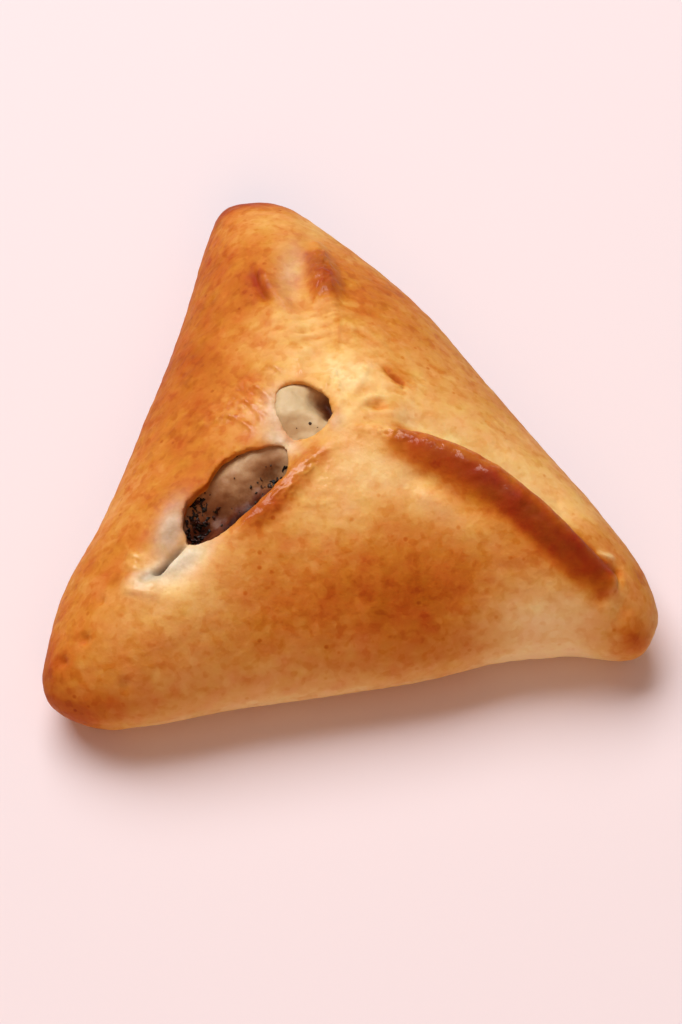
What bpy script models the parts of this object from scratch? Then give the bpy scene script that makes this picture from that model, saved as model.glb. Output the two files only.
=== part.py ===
"""A baked spinach pastry, for Blender 4.5 (metres, +Z up).

One round of bread dough is folded over its filling from three sides into a three-cornered parcel. Three seams
run from the crown to the corners: the right one is a pinched ridge, the far one a shallow pleat, and the left
one has burst in two places and shows the filling. The crust is a shell of dough with those two openings, and
the filling lies inside it.

The origin is the middle of the base. +X is to the right and +Y away from the viewer, who sees the front flap.
Plan points and sizes are in millimetres until a mesh is made.
"""

import math

import bmesh
import bpy
import numpy as np

MM = 0.001

CRUST_HEIGHT = 30.5
EDGE_HEIGHT = 8.5  # height of the widest line, where the sides turn under
EDGE_INSET = 6.8  # how far the sides turn in between that line and the base
CROWN = (-1.7, -8.4)  # plan point where the three seams meet
BULGE_OUT = 1.85  # exponents of the rounded profile from the crown to the widest line
BULGE_UP = 1.75
RIM_FADE = 8  # how sharply the relief dies out at the widest line

# The widest line, anticlockwise from the left corner. The front right corner is pinched to a blunt foot.
LEFT_CORNER = [(-51.7, -37.8), (-51.4, -49.2), (-43.5, -53.5), (-33.2, -52.7)]
FRONT_SIDE = [(-18.6, -49.9), (-1.3, -47.1), (14.5, -44.1), (27.8, -40.5), (35.2, -39.6)]
RIGHT_CORNER = [(42.5, -40.6), (49.6, -39.6), (52.4, -34.7), (51.6, -28.8)]
RIGHT_SIDE = [(45.0, -16.5), (33.7, -0.4), (24.2, 13.3), (11.6, 30.7), (-4.0, 45.6)]
FAR_CORNER = [(-14.7, 53.5), (-23.6, 52.5), (-27.7, 40.9)]
LEFT_SIDE = [(-32.3, 22.8), (-37.4, 5.1), (-44.1, -15.6)]
OUTLINE = LEFT_CORNER + FRONT_SIDE + RIGHT_CORNER + RIGHT_SIDE + FAR_CORNER + LEFT_SIDE
OUTLINE_STEPS = 12  # points from one of these to the next, for the reach at any angle

# Seams and folds, as plan paths from the crown outwards.
BURST_SEAM = [(-7.6, -5.0), (-11.2, -13.0), (-19.7, -20.6), (-28.0, -28.3), (-36.0, -35.0)]
RIDGE = [
    (0.7, -9.4), (5.4, -10.6), (11.3, -12.0), (18.0, -14.6), (24.7, -18.7), (31.4, -23.6), (37.2, -28.3),
    (42.6, -32.2),
]
RIDGE_ROLL = [
    (2.0, -9.0), (5.0, -10.4), (9.0, -12.0), (13.4, -13.6), (18.4, -15.6), (22.4, -18.0), (26.4, -20.9),
    (30.2, -23.6), (34.4, -26.9), (38.6, -29.9), (42.0, -31.9),
]
RIDGE_BACK = [(6.0, -5.6), (13.1, -7.1), (21.5, -10.9), (31.6, -17.2), (40.4, -25.4)]
RIDGE_HOLLOW = [(7.0, -15.8), (12.5, -18.0), (18.0, -21.2), (24.0, -25.6)]
FAR_PLEAT = [(-3.0, -2.3), (-5.3, 7.4), (-7.7, 14.3), (-9.7, 21.7), (-10.0, 29.2), (-9.7, 36.0)]
FRONT_LIP = [(-6.0, -13.0), (-8.6, -15.0), (-10.4, -17.0), (-13.4, -20.6), (-16.6, -23.8), (-20.4, -27.0)]
CORNER_CREASE = [(46.6, -25.5), (45.2, -30.6), (43.2, -34.0), (39.9, -36.4)]
PINCH_RIGHT = [(-6.9, 35.0), (-6.1, 30.1), (-5.2, 25.0), (-3.9, 18.5)]
PINCH_LEFT = [(-17.7, 28.6), (-16.7, 24.6), (-15.2, 21.1), (-13.4, 18.2)]

# Relief of the upper surface: path, height in mm, spread to its left and to its right, and fade at its ends.
RELIEF = [
    (BURST_SEAM, -2.0, 4.2, 4.2, 0.16),
    (FRONT_LIP, 0.9, 2.4, 3.0, 0.20),
    (RIDGE, 0.8, 1.6, 5.0, 0.16),
    (RIDGE_BACK, -1.1, 2.8, 2.8, 0.20),
    (RIDGE_HOLLOW, -1.0, 2.0, 2.2, 0.25),
    (FAR_PLEAT, -1.7, 4.5, 4.5, 0.22),
    (CORNER_CREASE, -1.3, 2.0, 2.0, 0.20),
]

# Pinched dough that stands up as a roll: path, then radius and height of its axis over the surface, each at the
# start, middle and end.
ROLLS = {
    "pinched_ridge": (RIDGE_ROLL, (1.0, 3.1, 2.2), (-0.5, -0.4, -0.9)),
    "pleat_pinch_right": (PINCH_RIGHT, (1.2, 2.3, 1.3), (-0.9, -1.1, -0.9)),
    "pleat_pinch_left": (PINCH_LEFT, (0.9, 1.7, 0.9), (-0.7, -0.9, -0.7)),
}
ROLL_POINTS = 19
ROUNDED_FROM = 0.75  # share of a roll's half length after which its ends round off

# Where the burst seam is open, as closed plan outlines.
LARGE_OPENING = [
    (-15.6, -11.5), (-13.2, -11.0), (-11.7, -11.4), (-11.1, -13.4), (-11.2, -16.4), (-13.8, -20.2),
    (-18.6, -24.4), (-23.8, -27.8), (-27.0, -28.0), (-28.5, -24.4), (-27.6, -20.2), (-24.4, -17.4),
    (-22.6, -14.0), (-19.2, -12.1),
]
SMALL_OPENING = [
    (-10.5, 1.3), (-6.9, 0.0), (-4.6, -2.2), (-3.5, -4.9), (-4.3, -7.6), (-7.2, -9.5), (-10.2, -9.1),
    (-12.2, -6.0), (-13.0, -2.4), (-12.4, 0.2),
]
# An opening's sections: height over the crust's surface and size, which makes its lips round.
LIP_SECTIONS = [(-12.0, 0.98), (-1.7, 0.98), (-0.8, 1.02), (-0.1, 1.12), (0.6, 1.3), (6.0, 1.7)]
OPENING_STEPS = 2

DOUGH = 3.2  # thickness of the folded dough, and near the burst seam, where it has stretched
DOUGH_STRETCHED = 1.9
STRETCH_REACH = 9.0
BASE_DOUGH = 3.5
SIDE_DOUGH = 5.0
CORNER_DOUGH = 7.0  # more of it, where the corners are folded shut
CORNER_FROM, CORNER_TO = 34.0, 56.0  # reach from the crown at a flap's middle and at a corner
CAVITY_EDGE = 5  # how squarely the cavity's roof meets its floor

GAP = 0.4  # clearance between the filling and the dough
# Lumps and hollows of the filling where it shows: plan point, height and spread in mm.
FILLING_LUMPS = [
    ((-8.8, -4.8), 0.8, 1.8), ((-4.4, -2.6), -3.0, 2.4), ((-14.0, -15.0), -2.6, 3.2),
    ((-18.0, -18.5), -1.4, 3.4), ((-23.5, -19.5), -2.0, 3.0), ((-20.5, -23.5), -2.4, 3.4),
    ((-26.0, -24.5), -3.0, 3.0),
]

# Mesh points from one outline point to the next, and rings over the top, round the side and along the base.
CRUST_STEPS, CRUST_TOP, CRUST_SIDE, CRUST_BASE = 4, 27, 5, 2
CAVITY_STEPS, CAVITY_TOP, CAVITY_BASE = 2, 18, 2

CRUST_COLOUR = (0.62, 0.30, 0.10)
FILLING_COLOUR = (0.50, 0.42, 0.32)


def closed_spline(points, steps):
    """A smooth closed curve through plan points, with steps points to a span and tangents weighted by chord."""
    points = np.array(points, float)
    ahead, behind = np.roll(points, -1, axis=0), np.roll(points, 1, axis=0)
    after = np.linalg.norm(ahead - points, axis=1)[:, None]
    before = np.linalg.norm(points - behind, axis=1)[:, None]
    slope = ((points - behind) / before * after + (ahead - points) / after * before) / (before + after)
    t = np.linspace(0, 1, steps, endpoint=False)[None, :, None]
    start, end = points[:, None], ahead[:, None]
    leave, arrive = (slope * after)[:, None], (np.roll(slope, -1, axis=0) * after)[:, None]
    curve = (
        (2 * t**3 - 3 * t**2 + 1) * start
        + (t**3 - 2 * t**2 + t) * leave
        + (3 * t**2 - 2 * t**3) * end
        + (t**3 - t**2) * arrive
    )
    return curve.reshape(-1, 2)


def open_spline(points, count):
    """The given number of points on a smooth curve through plan points, evenly spaced by their order."""
    points = np.array(points, float)
    padded = np.vstack([2 * points[0] - points[1], points, 2 * points[-1] - points[-2]])
    place = np.linspace(0, len(points) - 1, count)
    span = np.minimum(place.astype(int), len(points) - 2)
    t = (place - span)[:, None]
    p0, p1, p2, p3 = (padded[span + k] for k in range(4))
    return p1 + 0.5 * t * (p2 - p0 + t * (2 * p0 - 5 * p1 + 4 * p2 - p3 + t * (3 * (p1 - p2) + p3 - p0)))


def polar(points):
    """Angle about the crown and distance from it."""
    away = np.asarray(points, float) - CROWN
    return np.arctan2(away[..., 1], away[..., 0]), np.hypot(away[..., 0], away[..., 1])


def reach_at(angle):
    """Distance from the crown to the widest line."""
    line_angle, line_reach = polar(closed_spline(OUTLINE, OUTLINE_STEPS))
    order = np.argsort(line_angle)
    return np.interp(angle, line_angle[order], line_reach[order], period=2 * math.pi)


def smooth_step(value, low, high):
    t = np.clip((value - low) / (high - low), 0, 1)
    return t * t * (3 - 2 * t)


def near_path(path, x, y, count=24):
    """Signed distance of plan points from a path, positive on its left, and their place along it, 0 to 1."""
    line = open_spline(path, count)
    best = np.full(np.shape(x), np.inf)
    signed = np.zeros(np.shape(x))
    along = np.zeros(np.shape(x))
    for k in range(count - 1):
        (ax, ay), (bx, by) = line[k], line[k + 1]
        dx, dy = bx - ax, by - ay
        t = np.clip(((x - ax) * dx + (y - ay) * dy) / (dx * dx + dy * dy), 0, 1)
        gap = np.hypot(x - ax - t * dx, y - ay - t * dy)
        side = np.sign(dx * (y - ay) - dy * (x - ax))
        closer = gap < best
        best = np.where(closer, gap, best)
        signed = np.where(closer, gap * side, signed)
        along = np.where(closer, (k + t) / (count - 1), along)
    return signed, along


def relief(x, y):
    """Height that the seams, lips and creases add to the rounded form."""
    total = np.zeros(np.shape(x))
    for path, height, spread_left, spread_right, fade in RELIEF:
        distance, along = near_path(path, x, y)
        spread = np.where(distance > 0, spread_left, spread_right)
        ends = smooth_step(along, 0, fade) * smooth_step(1 - along, 0, fade)
        total += height * ends * np.exp(-((distance / spread) ** 2))
    return total


def top_height(x, y):
    """Height of the crust's upper surface over plan points."""
    angle, distance = polar(np.stack([x, y], -1))
    share = np.clip(distance / reach_at(angle), 0, 1)
    dome = (1 - share**BULGE_OUT) ** (1 / BULGE_UP)
    return EDGE_HEIGHT + (CRUST_HEIGHT - EDGE_HEIGHT) * dome + relief(x, y) * (1 - share**RIM_FADE)


def spread_from_crown(angle, distance):
    return CROWN[0] + distance * np.cos(angle), CROWN[1] + distance * np.sin(angle)


def crust_point(angle, ring):
    """A point of the crust's outside, on rings from the crown over the top, under the edge and along the base."""
    reach = reach_at(angle)
    over = np.clip(ring / CRUST_TOP, 0, 1) * math.pi / 2
    under = np.clip((ring - CRUST_TOP) / CRUST_SIDE, 0, 1) * math.pi / 2
    inward = np.clip((ring - CRUST_TOP - CRUST_SIDE) / CRUST_BASE, 0, 1)
    distance = reach * np.sin(over) ** (2 / BULGE_OUT)
    x, y = spread_from_crown(angle, distance)
    z = np.where(ring > CRUST_TOP, EDGE_HEIGHT * (1 - np.sin(under)), top_height(x, y))
    turned_in = (reach - EDGE_INSET * (1 - np.cos(under))) * (1 - inward)
    x, y = spread_from_crown(angle, np.where(ring > CRUST_TOP, turned_in, distance))
    return x, y, z


def cavity_reach(angle):
    reach = reach_at(angle)
    return reach - SIDE_DOUGH - CORNER_DOUGH * smooth_step(reach, CORNER_FROM, CORNER_TO)


def cavity_height(x, y):
    """Height of the cavity's roof, a dough's thickness under the crust's surface."""
    angle, distance = polar(np.stack([x, y], -1))
    share = np.clip(distance / cavity_reach(angle), 0, 1)
    from_seam, _ = near_path(BURST_SEAM, x, y)
    dough = DOUGH - (DOUGH - DOUGH_STRETCHED) * np.exp(-((from_seam / STRETCH_REACH) ** 2))
    roof = top_height(x, y) - dough - BASE_DOUGH
    return BASE_DOUGH + roof * np.sqrt(1 - share**CAVITY_EDGE)


def cavity_point(angle, ring):
    """A point of the cavity: a domed roof and a flat floor that meet at its edge."""
    outward = np.clip(ring / CAVITY_TOP, 0, 1)
    inward = np.clip((ring - CAVITY_TOP) / CAVITY_BASE, 0, 1)
    x, y = spread_from_crown(angle, cavity_reach(angle) * (outward - inward))
    return x, y, np.where(ring >= CAVITY_TOP, BASE_DOUGH, cavity_height(x, y))


def link(name, mesh, collection, colour=None, roughness=0.6):
    """A named object, with its own material where it is part of the pastry and else as a wire guide."""
    obj = bpy.data.objects.new(name, mesh)
    collection.objects.link(obj)
    if colour is None:
        obj.hide_render = True
        obj.display_type = "WIRE"
        return obj
    material = bpy.data.materials.new(name)
    material.use_nodes = True
    shader = material.node_tree.nodes["Principled BSDF"]
    shader.inputs["Base Color"].default_value = (*colour, 1)
    shader.inputs["Roughness"].default_value = roughness
    mesh.materials.append(material)
    return obj


def shaped_sphere(name, steps, rings, place):
    """A UV sphere whose rings are moved onto a form, from its crown (ring 0) to the middle of its base.

    Its meridians go through the points of the outline's curve, which are closer together at the corners.
    """
    meridians, _ = polar(closed_spline(OUTLINE, steps))
    bm = bmesh.new()
    bmesh.ops.create_uvsphere(bm, u_segments=len(meridians), v_segments=rings, radius=1)
    ball = np.array([vert.co for vert in bm.verts])
    turn = np.arctan2(ball[:, 1], ball[:, 0]) / (2 * math.pi) * len(meridians)
    angle = meridians[np.round(turn).astype(int) % len(meridians)]
    ring = np.round(np.arccos(np.clip(ball[:, 2], -1, 1)) / math.pi * rings)
    for vert, x, y, z in zip(bm.verts, *place(angle, ring)):
        vert.co = (x * MM, y * MM, z * MM)
    mesh = bpy.data.meshes.new(name)
    bm.to_mesh(mesh)
    bm.free()
    return mesh


def roll_mesh(name, path, radii, lifts):
    """A roll of dough with rounded ends that follows a plan path over the crust."""
    line = open_spline(path, ROLL_POINTS)
    share = np.linspace(0, 1, ROLL_POINTS)
    height = top_height(line[:, 0], line[:, 1]) + np.interp(share, (0, 0.5, 1), lifts)
    to_tip = np.clip((abs(2 * share - 1) - ROUNDED_FROM) / (1 - ROUNDED_FROM), 0, 0.95)
    radius = np.interp(share, (0, 0.5, 1), radii) * np.sqrt(1 - to_tip**2)
    curve = bpy.data.curves.new(name, "CURVE")
    curve.dimensions = "3D"
    curve.bevel_depth = MM
    curve.bevel_resolution = 2
    curve.use_fill_caps = True
    spline = curve.splines.new("POLY")
    spline.points.add(ROLL_POINTS - 1)
    for point, (x, y), z, size in zip(spline.points, line, height, radius):
        point.co = (x * MM, y * MM, z * MM, 1)
        point.radius = size
    guide = bpy.data.objects.new(name + "_curve", curve)
    bpy.context.scene.collection.objects.link(guide)
    mesh = bpy.data.meshes.new_from_object(guide.evaluated_get(bpy.context.evaluated_depsgraph_get()))
    bpy.data.objects.remove(guide)
    bm = bmesh.new()
    bm.from_mesh(mesh)
    bmesh.ops.remove_doubles(bm, verts=bm.verts, dist=1e-6)
    bmesh.ops.recalc_face_normals(bm, faces=bm.faces)
    bm.to_mesh(mesh)
    bm.free()
    return mesh


def opening_mesh(name, outline):
    """A cutter for an opening: its plan outline lofted through sections that widen at the crust's surface."""
    ring = closed_spline(outline, OPENING_STEPS)
    centre = ring.mean(axis=0)
    bm = bmesh.new()
    loops = []
    for lift, size in LIP_SECTIONS:
        plan = centre + (ring - centre) * size
        height = top_height(plan[:, 0], plan[:, 1]) + lift
        loops.append([bm.verts.new((x * MM, y * MM, z * MM)) for (x, y), z in zip(plan, height)])
    for lower, upper in zip(loops, loops[1:]):
        for k in range(len(ring)):
            after = (k + 1) % len(ring)
            bm.faces.new((lower[k], lower[after], upper[after], upper[k]))
    bm.faces.new(loops[0])
    bm.faces.new(loops[-1])
    bmesh.ops.recalc_face_normals(bm, faces=bm.faces)
    mesh = bpy.data.meshes.new(name)
    bm.to_mesh(mesh)
    bm.free()
    return mesh


def add_boolean(obj, operation, other):
    modifier = obj.modifiers.new(other.name, "BOOLEAN")
    modifier.operation = operation
    modifier.solver = "EXACT"
    modifier.object = other


def make_crust(parts, cutters):
    rings = CRUST_TOP + CRUST_SIDE + CRUST_BASE
    crust = link("crust", shaped_sphere("crust", CRUST_STEPS, rings, crust_point), parts, CRUST_COLOUR, 0.55)
    for name, (path, radii, lifts) in ROLLS.items():
        add_boolean(crust, "UNION", link(name, roll_mesh(name, path, radii, lifts), cutters))
    cavity = shaped_sphere("cavity", CAVITY_STEPS, CAVITY_TOP + CAVITY_BASE, cavity_point)
    add_boolean(crust, "DIFFERENCE", link("cavity", cavity, cutters))
    for name, outline in (("large_opening", LARGE_OPENING), ("small_opening", SMALL_OPENING)):
        add_boolean(crust, "DIFFERENCE", link(name, opening_mesh(name, outline), cutters))
    return crust


def make_filling(parts):
    """The cavity's own form, moved in on all sides by the gap, with its lumps and hollows on top."""
    mesh = shaped_sphere("filling", CAVITY_STEPS, CAVITY_TOP + CAVITY_BASE, cavity_point)
    bm = bmesh.new()
    bm.from_mesh(mesh)
    bm.normal_update()
    for vert in bm.verts:
        vert.co -= vert.normal * GAP * MM
    for (x, y), height, spread in FILLING_LUMPS:
        for vert in bm.verts:
            away = math.hypot(vert.co.x / MM - x, vert.co.y / MM - y)
            if vert.normal.z > 0:
                vert.co.z += height * MM * math.exp(-((away / spread) ** 2))
    bm.to_mesh(mesh)
    bm.free()
    return link("filling", mesh, parts, FILLING_COLOUR, 0.45)


def main():
    for obj in list(bpy.data.objects):
        bpy.data.objects.remove(obj)
    parts = bpy.data.collections.new("spinach_pastry")
    cutters = bpy.data.collections.new("cutters")
    for collection in (parts, cutters):
        bpy.context.scene.collection.children.link(collection)
    make_crust(parts, cutters)
    make_filling(parts)


main()
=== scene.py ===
"""The looks of a baked spinach pastry, laid out as an add-on and run as a script.

A three-cornered turnover of egg-washed bread dough. Its crust and its filling are modelled as fields, like
clay: rounded forms are joined and cut with soft edges, and a fine mesh is drawn through the surface. What
the eye reads as baking, from raw dough in the folds to dark brown on the ridge, is one value for each point
of the crust, which the crust's material turns into colour and gloss. That value also holds painted shade and
light: crumpled skin is browner in its hollows and paler on its crests, small dents and the openings' gaps
are browner, and the deepest fine folds are mixed towards a painted shade colour of their own.

Plan points and sizes are in millimetres until a mesh is made. +Y is away from the camera.
"""

import math
from collections import namedtuple

import bmesh
import bpy
import numpy as np
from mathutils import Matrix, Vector, noise


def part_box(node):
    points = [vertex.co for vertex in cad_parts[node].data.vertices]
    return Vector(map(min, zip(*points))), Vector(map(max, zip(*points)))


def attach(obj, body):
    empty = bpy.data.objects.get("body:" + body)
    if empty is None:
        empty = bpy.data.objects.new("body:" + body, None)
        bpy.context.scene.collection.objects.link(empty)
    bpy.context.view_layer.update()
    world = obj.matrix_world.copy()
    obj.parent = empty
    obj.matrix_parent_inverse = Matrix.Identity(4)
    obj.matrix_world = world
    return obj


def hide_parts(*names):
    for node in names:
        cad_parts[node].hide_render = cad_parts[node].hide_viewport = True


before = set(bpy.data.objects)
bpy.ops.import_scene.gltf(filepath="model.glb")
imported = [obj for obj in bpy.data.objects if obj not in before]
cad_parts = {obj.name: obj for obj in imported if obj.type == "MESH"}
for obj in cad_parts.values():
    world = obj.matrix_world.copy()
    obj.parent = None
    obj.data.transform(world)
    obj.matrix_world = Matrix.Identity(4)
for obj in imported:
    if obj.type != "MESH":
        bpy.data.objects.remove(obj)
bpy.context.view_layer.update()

bl_info = {
    "name": "Baked Spinach Pastry",
    "version": (1, 0, 0),
    "blender": (4, 5, 0),
    "location": "3D View > Sidebar > Pastry",
    "description": "Adds a baked three-cornered pastry with a burst seam, and a pale studio stage",
    "category": "Add Mesh",
}

MM = 0.001

# The stage: soft lights, with their places and sizes in metres, a dim room, and the photograph's view.
Softbox = namedtuple("Softbox", "place size watts")
KEY = Softbox((-0.55, 1.12, 1.7), (1.8, 1.3), 57)
FILL = Softbox((0.15, -1.7, 1.2), (1.6, 1.0), 15)
ROOM_LEVELS = (0.05, 0.30)  # strength of the light from the horizon and from high behind
FLOOR_COLOUR = "#e4d9dd"
CAMERA_AIM = (-2.0, -14.7, 12.0)
CAMERA_ELEVATION = 60  # degrees
CAMERA_DISTANCE = 420

# The rounded form of the crust.
CROWN = (-1.7, -8.4)  # plan point where the three seams meet
CROWN_HEIGHT = 30.5
CORNERS = {"left": (-50.0, -48.0), "right": (52.0, -40.0), "far": (-12.0, 52.0)}  # ends of flaps' borders
EDGE_HEIGHT = 8.5  # height of the widest line, where the sides turn under
EDGE_INSET = 6.8  # how far the sides turn in between that line and the base
BULGE_OUT, BULGE_UP = 1.85, 1.75  # exponents of the profile from the crown to the widest line
RIM_FADE = 8  # how sharply the relief dies out at the widest line
SKIN_INSET = 0.25  # the fine surface keeps this far inside the solid's outline

# Seams and folds, as plan paths from the crown outwards.
BURST_SEAM = [(-7.6, -5.0), (-11.2, -13.0), (-19.7, -20.6), (-28.0, -28.3), (-36.0, -35.0)]
RIDGE = [
    (0.7, -9.4), (5.4, -10.6), (11.3, -12.0), (18.0, -14.6), (24.7, -18.7), (31.4, -23.6),
    (37.2, -28.3), (42.6, -32.2),
]
RIDGE_ROLL = [
    (2.0, -8.8), (5.0, -9.9), (9.0, -11.2), (13.4, -12.6), (18.4, -14.6), (22.4, -17.0), (26.4, -20.1),
    (30.2, -23.0), (34.4, -26.4), (38.6, -29.8), (42.0, -31.9),
]
RIDGE_CREST = [(4.4, -8.8), (9.0, -10.4), (13.4, -11.8), (18.4, -13.8), (22.4, -16.4), (27.0, -19.8)]
RIDGE_BACK = [(6.0, -5.6), (13.1, -7.1), (21.5, -10.9), (31.6, -17.2), (40.4, -25.4)]
RIDGE_HOLLOW = [(7.0, -15.8), (12.5, -18.0), (18.0, -21.2), (24.0, -25.6)]
RIDGE_BUMP = [(9.5, -19.6), (13.5, -21.4), (17.5, -24.2)]
FAR_PLEAT = [(-3.0, -2.3), (-5.3, 7.4), (-7.7, 14.3), (-9.7, 21.7), (-10.0, 29.2), (-9.7, 36.0)]
FAR_CREASE = [(-17.9, 29.6), (-17.1, 25.4), (-15.7, 21.9), (-13.6, 18.6)]
FAR_STRAND = [(-16.6, 30.6), (-15.0, 24.6), (-12.6, 20.4), (-9.4, 16.9)]
FAR_RIM = [(-28.0, 42.0), (-25.8, 47.3), (-20.0, 51.8), (-14.0, 53.2), (-7.0, 51.5)]
FAR_THREAD = [(-2.6, 18.6), (-2.5, 12.6), (-2.9, 8.0)]
FRONT_LIP = [(-3.6, -12.0), (-6.8, -14.8), (-9.2, -17.6), (-12.4, -21.2), (-15.8, -24.5), (-20.0, -27.8)]
RIDGE_SLIVER = [(40.4, -27.5), (42.4, -27.8), (44.6, -27.2)]
CORNER_CREASE = [(44.2, -27.2), (44.2, -31.0), (42.4, -34.2), (39.4, -35.4)]
CORNER_HUG = [(45.3, -27.4), (45.2, -31.6), (43.2, -35.0), (39.6, -36.6)]
NUB_GROOVE = [(45.2, -33.6), (44.4, -37.2), (41.6, -40.0)]
PINCH_RIGHT = [(-6.9, 35.0), (-6.1, 30.1), (-5.2, 25.0), (-3.9, 18.5)]
TUCK = [(-26.9, -27.2), (-28.6, -29.2), (-30.5, -31.3), (-32.2, -32.9), (-33.9, -32.9)]
TUCK_LIP = [(-25.2, -28.8), (-27.6, -30.6), (-29.8, -32.4), (-31.4, -34.2)]
TUCK_LOBE = [(-29.6, -22.0), (-31.0, -25.6), (-31.6, -28.6), (-33.4, -30.8)]
TUCK_WRINKLES = [
    [(-39.1, -33.2), (-37.0, -34.3), (-34.4, -35.1), (-31.0, -36.7)],
    [(-39.0, -34.7), (-36.9, -35.9), (-34.0, -36.8), (-29.3, -38.0)],
    [(-38.6, -30.2), (-36.9, -31.4), (-35.4, -32.8)],
    [(-38.2, -28.4), (-36.4, -29.6), (-35.0, -31.0)],
]
CROWN_WEBS = [
    [(-1.7, -8.3), (-0.1, -5.8), (2.2, -3.1), (5.3, -1.9), (8.8, -1.8)],
    [(-0.5, -8.3), (2.2, -6.1), (6.0, -5.3), (9.6, -5.7)],
    [(-2.3, -7.2), (-2.3, -2.3), (-3.2, 3.0), (-4.6, 7.8)],
    [(-1.3, -5.4), (0.6, -0.7), (2.3, 4.0), (3.0, 7.0)],
]
FAR_WEBS = [
    [(-18.0, 13.6), (-12.6, 11.8), (-7.0, 13.2), (-3.0, 18.0)],
    [(-16.4, 9.8), (-10.8, 7.7), (-6.0, 9.5), (-2.2, 14.8)],
    [(-14.6, 15.8), (-10.4, 14.4), (-6.4, 16.4), (-4.4, 20.0)],
]
HOLE_WRINKLES = [
    [(-18.6, 2.6), (-16.2, 0.8), (-14.6, -2.0), (-14.2, -5.2)],
    [(-20.4, -0.6), (-17.8, -2.2), (-15.9, -5.0), (-15.2, -8.6)],
    [(-23.6, -3.2), (-20.2, -4.6), (-17.6, -7.2), (-16.2, -10.0)],
    [(-15.4, 6.4), (-13.2, 4.6), (-11.6, 2.6)],
    [(-9.6, 7.6), (-9.2, 4.8), (-8.9, 1.6)],
    [(-2.4, 4.2), (-4.4, 0.8), (-4.0, -1.6)],
]
SKIN_CRACK = [(4.9, 5.4), (6.8, 2.9), (9.2, 0.7)]

# A fold's height and its spreads to either side are in mm, and its fade is a share of the path.
Fold = namedtuple("Fold", "path height left right fade")
FOLDS = [
    Fold(BURST_SEAM, -2.0, 4.2, 4.2, 0.16),
    Fold(RIDGE, 0.6, 1.4, 5.0, 0.16),
    Fold(RIDGE_BACK, -1.5, 2.8, 2.8, 0.20),
    Fold(RIDGE_HOLLOW, -1.2, 1.6, 2.0, 0.30),
    Fold(RIDGE_BUMP, 0.45, 1.4, 1.6, 0.40),
    Fold(FAR_PLEAT, -1.8, 4.2, 4.2, 0.22),
    Fold(CORNER_CREASE, -0.8, 1.0, 1.2, 0.25),
    Fold(NUB_GROOVE, -0.8, 1.6, 1.6, 0.30),
    Fold(TUCK_LIP, 1.0, 1.4, 2.4, 0.30),
    Fold(TUCK_LOBE, 0.9, 2.0, 1.6, 0.30),
]
# Creases and raised threads too fine for the form, pressed into the finer mesh.
FINE_FOLDS = [
    Fold(TUCK, -1.5, 0.35, 0.75, 0.34),
    Fold(FAR_CREASE, -0.75, 0.6, 1.1, 0.30),
    Fold(FAR_STRAND, 0.50, 1.0, 0.8, 0.30),
    Fold(FAR_THREAD, 0.22, 0.5, 0.5, 0.35),
    Fold(CORNER_HUG, 0.16, 1.1, 1.0, 0.35),
    Fold(RIDGE_SLIVER, 0.25, 0.5, 0.4, 0.35),
    Fold(SKIN_CRACK, -0.45, 0.4, 0.3, 0.30),
    *(Fold(path, 0.45, 0.8, 0.7, 0.30) for path in TUCK_WRINKLES),
    *(Fold(path, 0.26, 0.7, 0.5, 0.30) for path in HOLE_WRINKLES),
    *(Fold(path, 0.32, 0.9, 0.7, 0.35) for path in CROWN_WEBS),
    *(Fold(path, 0.11, 1.3, 1.0, 0.40) for path in FAR_WEBS),
]
FOLD_UNEVENNESS, FOLD_UNEVEN_SIZE = 0.6, 2.4  # how much the fine folds swell and dwindle, and how soon
FINE_SPREAD = 0.65  # a fold narrower than this is fine detail
DETAIL_REACH, DETAIL_DEPTH = 1.8, 4.0  # the mesh is finer this near to fine detail and rims, and this deep
DETAIL_PATHS = [RIDGE_CREST, FRONT_LIP, PINCH_RIGHT]

# Pinched dough that stands up as a roll: its radius and the height of its axis over the surface, both at
# even places along it, and how softly it runs into the surface on its left and right.
Roll = namedtuple("Roll", "path radius lift left right")
ROLLS = [
    Roll(
        RIDGE_ROLL, (0.9, 2.1, 2.9, 3.0, 3.3, 3.1, 2.6, 2.3),
        (-0.5, -1.0, -1.3, -1.2, -1.2, -1.1, -0.9, -0.9), 0.5, 2.0,
    ),
    Roll(PINCH_RIGHT, (1.4, 2.8, 3.0, 1.6), (-1.0, -1.7, -1.9, -1.2), 1.4, 1.0),
    Roll(FRONT_LIP, (1.0, 2.0, 2.4, 2.2, 1.2), (-1.0, -1.1, -1.2, -1.1, -1.1), 1.0, 1.0),
]

# Where the burst seam is open, as closed plan outlines.
LARGE_OPENING = [
    (-15.6, -11.5), (-13.2, -11.0), (-11.7, -11.4), (-11.1, -13.4), (-11.2, -16.4), (-13.8, -20.2),
    (-18.6, -24.4), (-23.8, -27.8), (-27.0, -28.0), (-28.5, -24.4), (-27.6, -20.2), (-24.4, -17.4),
    (-22.6, -14.0), (-19.2, -12.1),
]
SMALL_OPENING = [
    (-10.5, 1.3), (-6.9, 0.0), (-4.6, -2.2), (-3.5, -4.9), (-4.3, -7.6), (-7.2, -9.5), (-10.2, -9.1),
    (-12.2, -6.0), (-13.0, -2.4), (-12.4, 0.2),
]

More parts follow.
